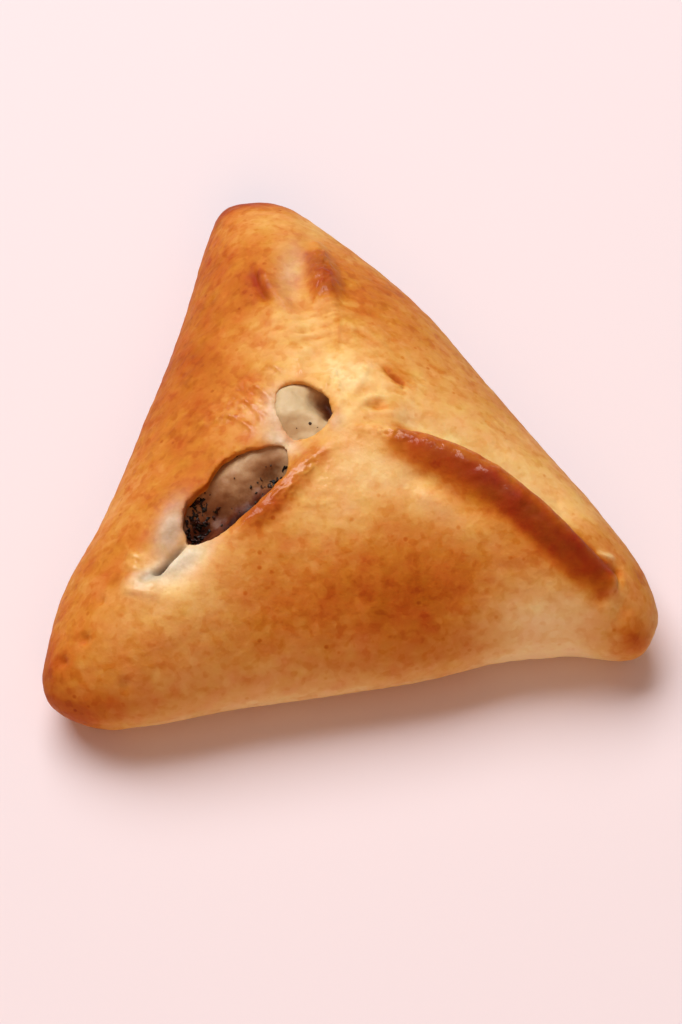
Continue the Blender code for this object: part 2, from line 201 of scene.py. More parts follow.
DOUGH, DOUGH_STRETCHED, STRETCH_REACH = 3.2, 1.4, 9.0  # thickness of the dough, and near the burst seam
TORN_THINNER, TORN_REACH = 0.6, 2.6  # how much thinner the dough is torn at the rim of an opening
BASE_DOUGH, SIDE_DOUGH, CORNER_DOUGH = 3.5, 5.0, 7.0
CORNER_FROM, CORNER_TO = 34.0, 56.0
CAVITY_EDGE = 5
TORN_UNEVENNESS, TORN_SIZE = 0.35, 1.7  # how far a torn edge strays from its outline, and over what length
OPENING_NEAR = 3.0  # within this of an opening's outline, the skin belongs to its rim
RIM_SOFTNESS = 0.5  # how rounded the torn edges of the openings are
OVERLAP = 0.15  # the filling reaches this far into the dough, so that no gap shows

FILLING_KEPT_WHERE_HIDDEN = 0.06  # share of its hidden faces that are kept
CRUMB_SIZE, CRUMB_HEIGHT = 2.4, 0.35  # how crumbly the filling is where it shows

# Lumps and hollows of the filling where it shows: plan point, height and spread.
FILLING_LUMPS = [
    ((-12.6, -5.6), 1.6, 2.8), ((-12.2, -0.8), 1.4, 2.6), ((-5.2, -2.0), -3.4, 2.3),
    ((-3.4, -4.6), -3.0, 2.0), ((-13.4, -15.8), -3.0, 2.6), ((-17.4, -19.4), -1.8, 3.2),
    ((-23.0, -20.5), -2.0, 2.8), ((-20.5, -23.5), -2.8, 3.2), ((-25.6, -24.6), -3.2, 2.8),
    ((-16.0, -22.0), -1.5, 1.6),
]

# What is hidden has few faces: deeper than this below the top, away from the flanks and the rims of the
# openings, or this near to the plate.
BURIED_DEPTH, FLANK_SHARE, SEEN_PAST_RIM, UNDERSIDE = 1.2, 0.9, 2.5, 0.25
KEPT_WHERE_HIDDEN = 0.05  # share of the hidden faces that are kept

# The skin's relief: broad swells and wrinkles, between these heights over the plate at full height.
SWELL_SIZE = 16.0
WRINKLE_SIZE, WRINKLE_STRETCH = 2.6, (1.4, 1, 1)
RELIEF_FROM = (0.4, 4.0)

# Where the sides are pressed in or bulge out: plan point at the edge, spread and depth.
PRESSES = [((37.6, -40.4), 3.2, 1.7), ((47.6, -41.0), 3.4, -0.4)]

# Small dents in the skin: plan point, radius and depth.
PITS = [
    ((-44.6, -42.8), 0.9, 0.95), ((-48.3, -45.4), 0.8, 0.80), ((-42.0, -36.6), 0.7, 0.60),
    ((-37.6, -50.0), 0.8, 0.65), ((4.6, -3.4), 0.5, 0.35), ((8.6, 0.4), 0.4, 0.30),
    ((4.4, 0.6), 0.4, 0.30), ((1.0, 12.6), 0.5, 0.30), ((34.6, -18.0), 0.4, 0.25),
    ((23.0, -3.0), 0.4, 0.22), ((-30.0, 9.0), 0.4, 0.22), ((-25.0, 25.0), 0.4, 0.22),
    ((3.4, -4.0), 1.1, 0.70), ((4.6, -4.3), 0.9, 0.50), ((-10.6, -10.2), 0.8, 0.60),
    ((-34.6, -34.2), 1.0, 0.50),
]

# Patches of crumpled skin: plan point, two spreads, the turn of the first from +X in degrees, height, and
# the size and stretch of the crumples.
Crumple = namedtuple("Crumple", "x y long wide turn height size stretch")
CRUMPLES = [
    Crumple(-8.0, 14.0, 9.0, 6.0, 12, 0.40, 1.3, 3.6),
    Crumple(-17.0, -1.0, 6.0, 4.5, -50, 0.30, 1.1, 3.2),
    Crumple(-25.0, -3.0, 6.0, 4.0, 10, 0.24, 0.9, 1.6),
    Crumple(-36.0, -31.5, 4.5, 3.5, -25, 0.22, 0.9, 2.6),
    Crumple(-5.0, -22.0, 7.0, 5.0, 20, 0.13, 1.1, 1.4),
    Crumple(-5.6, 27.0, 6.5, 3.0, 80, 0.34, 0.9, 2.2),
    Crumple(3.0, 11.0, 6.0, 6.0, -40, 0.26, 1.1, 2.4),
    Crumple(8.0, 1.0, 6.0, 4.5, -30, 0.30, 1.1, 2.8),
    Crumple(-3.0, 3.0, 3.0, 6.0, 10, 0.24, 1.0, 1.0),
    Crumple(-10.4, -18.8, 9.0, 2.4, 48, 0.26, 0.8, 1.8),
    Crumple(6.0, -10.8, 4.5, 1.6, -22, 0.30, 0.7, 1.4),
    Crumple(24.0, -18.4, 18.0, 2.8, -34, 0.30, 3.2, 1.0),
    Crumple(20.0, -17.0, 16.0, 2.6, -32, 0.12, 1.0, 1.6),
]


def hex_to_linear(code):
    """A linear colour from an sRGB hex value."""
    channels = [int(code[k : k + 2], 16) / 255 for k in (1, 3, 5)]
    return tuple(c / 12.92 if c <= 0.04045 else ((c + 0.055) / 1.055) ** 2.4 for c in channels)


def per_mm(size):
    """A texture scale, in repeats per metre, for a pattern of that size in millimetres."""
    return 1 / (size * MM)


def in_mm(length):
    """A property's length in millimetres, rounded, as a property holds about seven digits."""
    return round(length / MM, 5)


def smooth_step(value, low, high):
    t = np.clip((value - low) / (high - low), 0, 1)
    return t * t * (3 - 2 * t)


def soft_min(a, b, reach):
    """The lower of two fields, run together over that reach."""
    t = np.clip(0.5 + 0.5 * (b - a) / reach, 0, 1)
    return b + (a - b) * t - reach * t * (1 - t)


def soft_max(a, b, reach):
    return -soft_min(-a, -b, reach)


def closed_spline(points, steps):
    """A smooth closed curve through plan points, with that many steps to a span."""
    points = np.array(points, float)
    ahead, behind = np.roll(points, -1, axis=0), np.roll(points, 1, axis=0)
    after = np.linalg.norm(ahead - points, axis=1)[:, None]
    before = np.linalg.norm(points - behind, axis=1)[:, None]
    slope = ((points - behind) / before * after + (ahead - points) / after * before) / (before + after)
    t = np.linspace(0, 1, steps, endpoint=False)[None, :, None]
    start, end = points[:, None], ahead[:, None]
    leave, arrive = (slope * after)[:, None], (np.roll(slope, -1, axis=0) * after)[:, None]
    curve = (
        (2 * t**3 - 3 * t**2 + 1) * start
        + (t**3 - 2 * t**2 + t) * leave
        + (3 * t**2 - 2 * t**3) * end
        + (t**3 - t**2) * arrive
    )
    return curve.reshape(-1, 2)


def open_spline(points, count):
    """The given number of points on a smooth curve through plan points, evenly spaced by their order."""
    points = np.array(points, float)
    padded = np.vstack([2 * points[0] - points[1], points, 2 * points[-1] - points[-2]])
    place = np.linspace(0, len(points) - 1, count)
    span = np.minimum(place.astype(int), len(points) - 2)
    t = (place - span)[:, None]
    p0, p1, p2, p3 = (padded[span + k] for k in range(4))
    return p1 + 0.5 * t * (p2 - p0 + t * (2 * p0 - 5 * p1 + 4 * p2 - p3 + t * (3 * (p1 - p2) + p3 - p0)))


def polar(points):
    """Angle about the crown and distance from it."""
    away = np.asarray(points, float) - CROWN
    return np.arctan2(away[..., 1], away[..., 0]), np.hypot(away[..., 0], away[..., 1])


def outline_of_solid():
    """Angles and reaches of the widest line, from the solid crust's own points at that height."""
    points = np.array([vert.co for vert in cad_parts["crust"].data.vertices]) / MM
    rim = points[abs(points[:, 2] - EDGE_HEIGHT) < 0.01]
    angle, reach = polar(rim[:, :2])
    outer = [reach[k] > 0.93 * reach[abs(angle - angle[k]) < 0.1].max() for k in range(len(rim))]
    angle, first = np.unique(angle[outer].round(4), return_index=True)
    corners = rim[outer][first][:, :2]
    angle, reach = polar(closed_spline(corners, 6))
    order = np.argsort(angle)
    return angle[order], reach[order] - SKIN_INSET


OUTLINE = outline_of_solid()


def reach_at(angle):
    """Distance from the crown to the widest line."""
    return np.interp(angle, *OUTLINE, period=2 * math.pi)


def near_path(path, x, y, count=24):
    """Signed distance of plan points from a path, positive on its left, and their place along it."""
    line = open_spline(path, count)
    best = np.full(np.shape(x), np.inf)
    signed = np.zeros(np.shape(x))
    along = np.zeros(np.shape(x))
    for k in range(count - 1):
        (ax, ay), (bx, by) = line[k], line[k + 1]
        dx, dy = bx - ax, by - ay
        t = np.clip(((x - ax) * dx + (y - ay) * dy) / (dx * dx + dy * dy), 0, 1)
        gap = np.hypot(x - ax - t * dx, y - ay - t * dy)
        side = np.sign(dx * (y - ay) - dy * (x - ax))
        closer = gap < best
        best = np.where(closer, gap, best)
        signed = np.where(closer, gap * side, signed)
        along = np.where(closer, (k + t) / (count - 1), along)
    return signed, along


def inside_distance(outline, x, y):
    """Signed distance of plan points from a closed outline, negative inside it."""
    ring = closed_spline(outline, 6)
    best = np.full(np.shape(x), np.inf)
    inside = np.zeros(np.shape(x), bool)
    for (ax, ay), (bx, by) in zip(ring, np.roll(ring, -1, axis=0)):
        dx, dy = bx - ax, by - ay
        t = np.clip(((x - ax) * dx + (y - ay) * dy) / (dx * dx + dy * dy), 0, 1)
        best = np.minimum(best, np.hypot(x - ax - t * dx, y - ay - t * dy))
        crosses = (ay > y) != (by > y)
        if dy:
            inside ^= crosses & (x < ax + (y - ay) / dy * dx)
    return np.where(inside, -best, best)


def band(path, x, y, left, right, fade, power=2):
    """1 on a path, dying out to its sides and towards its ends. A higher power gives a sharper edge."""
    distance, along = near_path(path, x, y)
    spread = np.where(distance > 0, left, right)
    ends = smooth_step(along, 0, fade) * smooth_step(1 - along, 0, fade)
    return ends * np.exp(-(abs(distance / spread) ** power))


class Plan:
    """A plan grid over the pastry, with every map that depends on the plan point alone."""

    def __init__(self, step):
        low, high = (np.array(corner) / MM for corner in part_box("crust"))
        self.step = step
        self.axes = [np.arange(low[k] - 2 * step, high[k] + 2 * step, step) for k in range(3)]
        x, y = np.meshgrid(self.axes[0], self.axes[1], indexing="ij")
        self.x, self.y = x, y
        angle, distance = polar(np.stack([x, y], -1))
        reach = reach_at(angle)
        turn = (reach_at(angle + 0.01) - reach_at(angle - 0.01)) / 0.02
        pressed = sum(
            depth * np.exp(-((x - press_x) ** 2 + (y - press_y) ** 2) / spread**2)
            for (press_x, press_y), spread, depth in PRESSES
        )
        self.share = distance / reach * (1 + pressed / reach)
        self.share_slope = np.hypot(1, turn / reach) / reach
        self.relief = sum(
            fold.height * band(fold.path, x, y, fold.left, fold.right, fold.fade) for fold in FOLDS
        )
        dome = (1 - np.clip(self.share, 0, 1) ** BULGE_OUT) ** (1 / BULGE_UP)
        fade = 1 - np.clip(self.share, 0, 1) ** RIM_FADE
        self.top = EDGE_HEIGHT + (CROWN_HEIGHT - EDGE_HEIGHT) * dome + self.relief * fade
        opening = np.minimum(inside_distance(LARGE_OPENING, x, y), inside_distance(SMALL_OPENING, x, y))
        near = abs(opening) < OPENING_NEAR
        flat = np.stack([x[near], y[near], 0 * x[near]], -1)
        opening[near] += TORN_UNEVENNESS * ripple(flat, TORN_SIZE, 2)
        self.opening = opening
        self.cavity = self.cavity_top(angle, distance, reach)

    def cavity_top(self, angle, distance, reach):
        """Height of the cavity's roof, a dough's thickness under the crust's surface."""
        inner = reach - SIDE_DOUGH - CORNER_DOUGH * smooth_step(reach, CORNER_FROM, CORNER_TO)
        share = np.clip(distance / inner, 0, 1)
        from_seam, _ = near_path(BURST_SEAM, self.x, self.y)
        dough = DOUGH - (DOUGH - DOUGH_STRETCHED) * np.exp(-((from_seam / STRETCH_REACH) ** 2))
        dough = dough - TORN_THINNER * np.exp(-((np.maximum(self.opening, 0) / TORN_REACH) ** 2))
        roof = BASE_DOUGH + (self.top - dough - BASE_DOUGH) * np.sqrt(1 - share**CAVITY_EDGE)
        return np.where(share < 1, roof, BASE_DOUGH - distance + inner)

    def sample(self, grid, points):
        """A map's values at points, read between its grid's."""
        place = [(points[:, k] - self.axes[k][0]) / self.step for k in (0, 1)]
        cell = [np.clip(p.astype(int), 0, size - 2) for p, size in zip(place, grid.shape)]
        s, t = (np.clip(p - c, 0, 1) for p, c in zip(place, cell))
        i, j = cell
        near = grid[i, j] * (1 - t) + grid[i, j + 1] * t
        return near * (1 - s) + (grid[i + 1, j] * (1 - t) + grid[i + 1, j + 1] * t) * s

    def levels(self):
        return self.axes[2]


def steepness(height, step):
    """What turns a difference in height over a sloping surface into a distance from it."""
    across, along = np.gradient(height, step)
    return np.sqrt(1 + np.clip(across**2 + along**2, 0, 25))


def body_at(plan, z):
    """Field of the rounded form on one level: about the distance from its surface, negative inside."""
    if z >= EDGE_HEIGHT:
        rise = CROWN_HEIGHT - EDGE_HEIGHT
        lowered = z - plan.relief * smooth_step(z, EDGE_HEIGHT, EDGE_HEIGHT + 5)
        up = np.maximum(lowered - EDGE_HEIGHT, 0) / rise
        value = plan.share**BULGE_OUT + up**BULGE_UP - 1
        outward = BULGE_OUT * plan.share ** (BULGE_OUT - 1) * plan.share_slope
        upward = BULGE_UP * up ** (BULGE_UP - 1) / rise
        return value / np.maximum(np.hypot(outward, upward), 0.008)
    beyond = (plan.share - 1) / plan.share_slope
    side = np.maximum((beyond + EDGE_INSET) / EDGE_INSET, 0)
    under = (EDGE_HEIGHT - z) / EDGE_HEIGHT
    value = side**2 + under**2 - 1
    return value / np.maximum(2 * np.hypot(side / EDGE_INSET, under / EDGE_HEIGHT), 0.05)


def roll_maps(plan, roll):
    """Plan maps of a roll: its softness, distance from its line, height of its axis and its radius."""
    distance, along = near_path(roll.path, plan.x, plan.y, 40)
    line = open_spline(roll.path, 40)
    share = np.linspace(0, 1, 40)
    softness = roll.right + (roll.left - roll.right) * smooth_step(distance, -0.8, 0.8)
    axis = plan.sample(plan.top, line) + np.interp(share, np.linspace(0, 1, len(roll.lift)), roll.lift)
    radius = np.interp(along, np.linspace(0, 1, len(roll.radius)), roll.radius)
    return softness, abs(distance), np.interp(along, share, axis), radius


def crust_field(plan):
    """Field of the whole crust: the rounded form and its rolls, less the cavity and the openings."""
    rolls = [roll_maps(plan, roll) for roll in ROLLS]
    roof_steepness = steepness(plan.cavity, plan.step)
    levels = []
    for z in plan.levels():
        body = body_at(plan, z)
        for softness, distance, axis, radius in rolls:
            body = soft_min(body, np.hypot(distance, z - axis) - radius, softness)
        cavity = np.maximum((z - plan.cavity) / roof_steepness, BASE_DOUGH - z)
        opening = np.maximum(plan.opening, (plan.cavity - 2 - z) / 2)
        body = soft_max(body, -soft_min(cavity, opening, 0.6), RIM_SOFTNESS)
        levels.append(body)
    return np.stack(levels, -1)


def filling_field(plan):
    """Field of the filling: it fills the cavity, with lumps and hollows where it shows."""
    top = plan.cavity + OVERLAP
    for (x, y), height, spread in FILLING_LUMPS:
        bump = height * np.exp(-((plan.x - x) ** 2 + (plan.y - y) ** 2) / spread**2)
        if height > 0:
            bump = bump * smooth_step(-plan.opening, -1.6, 0.4)
        top = top + bump
    steep = steepness(top, plan.step)
    return np.stack([soft_max((z - top) / steep, BASE_DOUGH - z, 0.5) for z in plan.levels()], -1)


CUBE = np.array([(i, j, k) for i in (0, 1) for j in (0, 1) for k in (0, 1)])
CUBE_EDGES = [(a, b) for a in range(8) for b in range(a + 1, 8) if abs(CUBE[a] - CUBE[b]).sum() == 1]


def surface_through(field, plan):
    """Points and four-sided faces of the surface at a field's zero, one point to each cell it crosses."""
    inside = field < 0
    size = np.array(field.shape) - 1
    corners = [inside[i : i + size[0], j : j + size[1], k : k + size[2]] for i, j, k in CUBE]
    count = sum(corner.astype(np.uint8) for corner in corners)
    crossed = (count > 0) & (count < 8)
    cells = np.argwhere(crossed)
    number = np.full(crossed.shape, -1)
    number[crossed] = np.arange(len(cells))
    value = np.stack([field[tuple((cells + corner).T)] for corner in CUBE], -1)
    place = np.zeros((len(cells), 3))
    hits = np.zeros(len(cells))
    for a, b in CUBE_EDGES:
        hit = (value[:, a] < 0) != (value[:, b] < 0)
        t = value[hit, a] / (value[hit, a] - value[hit, b])
        place[hit] += CUBE[a] + t[:, None] * (CUBE[b] - CUBE[a])
        hits[hit] += 1
    low = np.array([axis[0] for axis in plan.axes])
    points = low + (cells + place / hits[:, None]) * plan.step
    faces = []
    for axis in range(3):
        step = np.eye(3, dtype=int)[axis]
        second, third = np.eye(3, dtype=int)[(axis + 1) % 3], np.eye(3, dtype=int)[(axis + 2) % 3]
        here = inside[tuple(slice(0, -s or None) for s in step)]
        there = inside[tuple(slice(s, None) for s in step)]
        edges = np.argwhere(here != there)
        outward = here[tuple(edges.T)]
        around = [number[tuple((edges - offset).T)] for offset in (second + third, third, 0 * third, second)]
        quads = np.stack(around, -1)
        faces.append(np.where(outward[:, None], quads, quads[:, ::-1]))
    return points, np.vstack(faces)


def relax(points, faces, rounds):
    """Evens out a surface's points without shrinking it."""
    start, end = faces.ravel(), np.roll(faces, -1, axis=1).ravel()
    share = np.bincount(start, minlength=len(points)) + np.bincount(end, minlength=len(points))
    for _ in range(rounds):
        for pull in (0.5, -0.52):
            total = [
                np.bincount(start, axis[end], len(axis)) + np.bincount(end, axis[start], len(axis))
                for axis in points.T
            ]
            points = points + pull * (np.stack(total, -1) / share[:, None] - points)
    return points


def new_mesh(name, points, faces):
    mesh = bpy.data.meshes.new(name)
    mesh.from_pydata((points * MM).tolist(), [], faces.tolist())
    mesh.shade_smooth()
    return mesh


def link(name, mesh):
    piece = bpy.data.objects.new(name, mesh)
    bpy.context.scene.collection.objects.link(piece)
    return piece


def applied(piece):
    """Applies a piece's modifiers."""
    depsgraph = bpy.context.evaluated_depsgraph_get()
    mesh = bpy.data.meshes.new_from_object(piece.evaluated_get(depsgraph))
    piece.modifiers.clear()
    piece.data = mesh
    return piece


def thin_out(piece, hidden, keep):
    """Merges most of the faces that can't be seen, at points whose hidden value is 1."""
    group = piece.vertex_groups.new(name="hidden")
    for index in np.flatnonzero(hidden).tolist():
        group.add([index], 1, "REPLACE")
    faces = np.array([hidden[list(face.vertices)].all() for face in piece.data.polygons])
    modifier = piece.modifiers.new("thin_out", "DECIMATE")
    modifier.ratio = 1 - (1 - keep) * faces.mean()
    modifier.vertex_group = group.name
    modifier.vertex_group_factor = 10
    applied(piece)
    piece.vertex_groups.clear()


def refine(mesh, near):
    """Splits the edges whose two points are both where near is true, and the faces between them."""
    bm = bmesh.new()
    bm.from_mesh(mesh)
    edges = [edge for edge in bm.edges if near[edge.verts[0].index] and near[edge.verts[1].index]]
    bmesh.ops.subdivide_edges(bm, edges=edges, cuts=1, use_grid_fill=True)
    bm.to_mesh(mesh)
    bm.free()
    mesh.shade_smooth()


def fine_relief(points, folds):
    """Height that the fine folds add at points, worked out only near each of them."""
    total = np.zeros(len(points))
    for fold in folds:
        reach = 2.5 * max(fold.left, fold.right)
        low, high = np.min(fold.path, axis=0) - reach, np.max(fold.path, axis=0) + reach
        near = ((points[:, :2] > low) & (points[:, :2] < high)).all(axis=1)
        x, y = points[near, 0], points[near, 1]
        total[near] += fold.height * band(fold.path, x, y, fold.left, fold.right, fold.fade)
    return total * (1 + FOLD_UNEVENNESS * ripple(points, FOLD_UNEVEN_SIZE, 1))


def pits_relief(points):
    """Height that the small dents take away at points."""
    x, y = points[:, 0], points[:, 1]
    return -sum(
        depth * np.exp(-((x - pit_x) ** 2 + (y - pit_y) ** 2) / radius**2)
        for (pit_x, pit_y), radius, depth in PITS
    )


def crumpled_relief(points):
    """Height of the crumpled patches at points."""
    total = np.zeros(len(points))
    for patch in CRUMPLES:
        turn = math.radians(patch.turn)
        dx, dy = points[:, 0] - patch.x, points[:, 1] - patch.y
        along, across = dx * math.cos(turn) + dy * math.sin(turn), dy * math.cos(turn) - dx * math.sin(turn)
        mask = np.exp(-((along / patch.long) ** 2) - (across / patch.wide) ** 2)
        near = mask > 0.03
        places = np.stack([along / patch.stretch, across, points[:, 2]], -1)[near]
        total[near] += patch.height * mask[near] * ripple(places, patch.size, 2)
    return total


def points_of(mesh):
    flat = np.zeros(len(mesh.vertices) * 3, np.float32)
    mesh.vertices.foreach_get("co", flat)
    return flat.reshape(-1, 3).astype(float) / MM


def normals_of(mesh):
    flat = np.zeros(len(mesh.vertices) * 3, np.float32)
    mesh.vertex_normals.foreach_get("vector", flat)
    return flat.reshape(-1, 3).astype(float)


def set_points(mesh, points):
    mesh.vertices.foreach_set("co", (points * MM).astype(np.float32).ravel())
    mesh.update()


def paint(mesh, name, values):
    """Stores one value for each point, for a material to read."""
    attribute = mesh.attributes.new(name, "FLOAT", "POINT")
    attribute.data.foreach_set("value", values.astype(np.float32))


def ripple(points, size, octaves=2, stretch=(1, 1, 1)):
    """Smooth noise at points, about -1 to 1, with features of that size in mm."""
    scaled = points / size / np.array(stretch)
    return np.array([noise.fractal(Vector(p), 0.9, 2.1, octaves) for p in scaled])


def material(name, build):
    made = bpy.data.materials.new(name)
    made.use_nodes = True
    made.node_tree.nodes.clear()
    build(made.node_tree)
    return made


def add_node(tree, kind, inputs=None, **settings):
    """Adds a node. An input is given by its name or number, as a value or as the socket that feeds it."""
    node = tree.nodes.new(kind)
    for key, value in settings.items():
        setattr(node, key, value)
    for key, value in (inputs or {}).items():
        if isinstance(value, bpy.types.NodeSocket):
            tree.links.new(value, node.inputs[key])
        else:
            node.inputs[key].default_value = value
    return node


def colour_by(tree, shade, stops):
    """The colour for a shade from 0 to 1, between stops of shade and sRGB hex value."""
    node = add_node(tree, "ShaderNodeValToRGB", {"Fac": shade})
    elements = node.color_ramp.elements
    while len(elements) < len(stops):
        elements.new(0.5)
    for element, (place, code) in zip(elements, stops):
        element.position = place
        element.color = (*hex_to_linear(code), 1)
    return node.outputs["Color"]


# Egg-washed bread dough, baked: pale and matt where it was folded away from the heat, through gold and
# orange-brown to a dark, glossier red-brown where it stood up into it. Nearly raw dough is greyish cream and
# floury.
BAKED_STOPS = [
    (0.00, "#f2dba6"), (0.12, "#ebcb8e"), (0.25, "#e2b572"), (0.38, "#daa35a"), (0.50, "#cf8c40"),
    (0.62, "#c37324"), (0.74, "#b25b12"), (0.85, "#9a3f08"), (0.93, "#8b3308"), (1.00, "#7c2a07"),
]
RAW_STOPS = [(0.30, "#c9b998"), (0.70, "#e9dcc4")]
# Painted shade: the dark colour that deep creases and some hollows are mixed towards.
CREASE_SHADE_COLOUR = "#6e5547"


def centred_noise(tree, coords, size, detail):
    """Noise with features of that size in mm, about -0.5 to 0.5."""
    cloud = add_node(tree, "ShaderNodeTexNoise", {"Vector": coords, "Scale": per_mm(size), "Detail": detail})
    return add_node(tree, "ShaderNodeMath", {0: cloud.outputs[0], 1: -0.5}, operation="ADD").outputs[0]


def with_pattern(tree, pattern, amount, shade, clamp=False):
    """A shade with that amount of a pattern added to it."""
    inputs = {0: pattern, 1: amount, 2: shade}
    return add_node(tree, "ShaderNodeMath", inputs, operation="MULTIPLY_ADD", use_clamp=clamp).outputs[0]


def baked_dough(tree):
    coords = add_node(tree, "ShaderNodeTexCoord").outputs["Object"]
    # How baked each point is, with painted shade in hollows, dents and gaps; how raw; how glazed; and
    # painted shade in deep creases.
    baking_and_shade, raw, glaze, crease_shade = (
        add_node(tree, "ShaderNodeAttribute", attribute_name=name).outputs["Fac"]
        for name in ("baking_and_shade", "raw", "glaze", "crease_shade")
    )

    # Browning varies in patches of 13 mm and 6 mm, mottles of 2 mm and a grain of about half a millimetre.
    mottle = 0.0
    for size, detail, amount in ((13, 1, 0.14), (6, 2, 0.17), (2.1, 2, 0.12), (0.6, 1, 0.05)):
        mottle = with_pattern(tree, centred_noise(tree, coords, size, detail), amount, mottle)

    # Blotches about 3 mm and 1.5 mm across have a clearer edge. Freckles, where the skin blistered, are
    # under 1 mm across.
    blotches = ((3.2, 0.02, 0.12, 0.04), (1.6, 0.04, 0.13, 0.045), (2.4, -0.04, -0.15, -0.04))
    for size, low, high, amount in blotches:
        between = {0: centred_noise(tree, coords, size, 1), 1: low, 2: high}
        edge = add_node(tree, "ShaderNodeMapRange", between, interpolation_type="SMOOTHSTEP")
        mottle = with_pattern(tree, edge.outputs[0], amount, mottle)
    cells = add_node(tree, "ShaderNodeTexVoronoi", {"Vector": coords, "Scale": per_mm(2.2)})
    near_middle = {0: cells.outputs["Distance"], 1: 0.22, 2: 0.10}
    freckle = add_node(tree, "ShaderNodeMapRange", near_middle).outputs[0]
    few = add_node(tree, "ShaderNodeSeparateColor", {0: cells.outputs["Color"]}).outputs[0]
    few = add_node(tree, "ShaderNodeMapRange", {0: few, 1: 0.75, 2: 0.95, 4: 0.14}).outputs[0]
    mottle = with_pattern(tree, freckle, few, mottle)

    # Where it is darkest, the dough is browned all over.
    evenness = add_node(tree, "ShaderNodeMapRange", {0: baking_and_shade, 1: 0.66, 2: 0.84, 3: 1, 4: 0.35}).outputs[0]
    shade = with_pattern(tree, mottle, evenness, baking_and_shade, clamp=True)

    # The same browning is redder in some patches and more golden in others.
    warmth = with_pattern(tree, centred_noise(tree, coords, 3.6, 2), -0.035, 0.5)
    browned = colour_by(tree, shade, BAKED_STOPS)
    baked = add_node(tree, "ShaderNodeHueSaturation", {"Hue": warmth, "Color": browned})
    grains = {"Vector": coords, "Scale": per_mm(1.8), "Detail": 3}
    flour = add_node(tree, "ShaderNodeTexNoise", grains).outputs[0]
    dusty = {"Factor": raw, 6: baked.outputs[0], 7: colour_by(tree, flour, RAW_STOPS)}
    colour = add_node(tree, "ShaderNodeMix", dusty, data_type="RGBA").outputs[2]
    # Painted shade: deep creases and some hollows are mixed towards a dark colour.
    crease_shade_mix = {"Factor": crease_shade, 6: colour, 7: (*hex_to_linear(CREASE_SHADE_COLOUR), 1)}
    colour = add_node(tree, "ShaderNodeMix", crease_shade_mix, data_type="RGBA").outputs[2]

    streaks = {"Vector": coords, "Scale": per_mm(1.5), "Detail": 2}
    sheen = add_node(tree, "ShaderNodeTexNoise", streaks).outputs[0]
    gloss = add_node(tree, "ShaderNodeMapRange", {0: sheen, 1: 0.3, 2: 0.7, 3: 0.65, 4: 0.50}).outputs[0]
    holes = {"Vector": coords, "Scale": per_mm(0.8), "Detail": 3}
    pores = add_node(tree, "ShaderNodeTexNoise", holes).outputs[0]
    rough = {"Strength": 0.5, "Distance": 0.2 * MM, "Height": pores}
    bump = add_node(tree, "ShaderNodeBump", rough).outputs[0]
    shader = add_node(tree, "ShaderNodeBsdfPrincipled", {
        "Base Color": colour, "Roughness": gloss, "Normal": bump, "IOR": 1.45, "Specular IOR Level": 0.12,
        "Subsurface Weight": 0.12, "Subsurface Radius": (1.0, 0.4, 0.15), "Subsurface Scale": 2 * MM,
        "Coat Weight": glaze, "Coat Roughness": 0.14, "Coat Normal": bump,
    })
    add_node(tree, "ShaderNodeOutputMaterial", {"Surface": shader.outputs[0]})


# Soft white cheese baked with greens: moist, cream where it bulges up, greyish beige deeper below the dough,
# and stained red-brown where the juice has gathered; the darker shades also serve as painted shade in the
# gaps.
FILLING_STOPS = [
    (0.00, "#cdb68d"), (0.25, "#bfa177"), (0.45, "#a37b56"), (0.62, "#855633"), (0.82, "#5f2a12"),
    (1.00, "#330f07"),
]


def moist_cheese(tree):
    coords = add_node(tree, "ShaderNodeTexCoord").outputs["Object"]
    # Juice stain, with painted shade in the gaps and painted light on one lump.
    shade = add_node(tree, "ShaderNodeAttribute", attribute_name="juice_and_shade").outputs["Fac"]
    for size, amount in ((3.0, 0.26), (1.1, 0.20)):
        shade = with_pattern(tree, centred_noise(tree, coords, size, 3), amount, shade)
    crumbs = {"Vector": coords, "Scale": per_mm(0.9), "Detail": 4}
    fine = add_node(tree, "ShaderNodeTexNoise", crumbs).outputs[0]
    rough = {"Strength": 0.5, "Distance": 0.25 * MM, "Height": fine}
    bump = add_node(tree, "ShaderNodeBump", rough).outputs[0]
    shader = add_node(tree, "ShaderNodeBsdfPrincipled", {
        "Base Color": colour_by(tree, shade, FILLING_STOPS), "Roughness": 0.42, "Normal": bump, "IOR": 1.4,
        "Specular IOR Level": 0.25,
        "Subsurface Weight": 0.2, "Subsurface Radius": (1.0, 0.7, 0.4), "Subsurface Scale": 1.2 * MM,
    })
    add_node(tree, "ShaderNodeOutputMaterial", {"Surface": shader.outputs[0]})


# Cooked leaves: wet, a nearly black green that turns red-brown with juice, so that only small glints show.
def cooked_leaf(tree):
    coords = add_node(tree, "ShaderNodeTexCoord").outputs["Object"]
    patches = {"Vector": coords, "Scale": per_mm(1.1), "Detail": 3}
    veins = add_node(tree, "ShaderNodeTexNoise", patches).outputs[0]
    stops = [(0.35, "#0f0b06"), (0.5, "#1d120a"), (0.60, "#451607"), (0.72, "#2a2410")]
    colour = colour_by(tree, veins, stops)
    rough = {"Strength": 0.4, "Distance": 0.15 * MM, "Height": veins}
    bump = add_node(tree, "ShaderNodeBump", rough).outputs[0]
    shader = add_node(tree, "ShaderNodeBsdfPrincipled", {
        "Base Color": colour, "Roughness": 0.4, "Normal": bump, "IOR": 1.4,
    })
    add_node(tree, "ShaderNodeOutputMaterial", {"Surface": shader.outputs[0]})


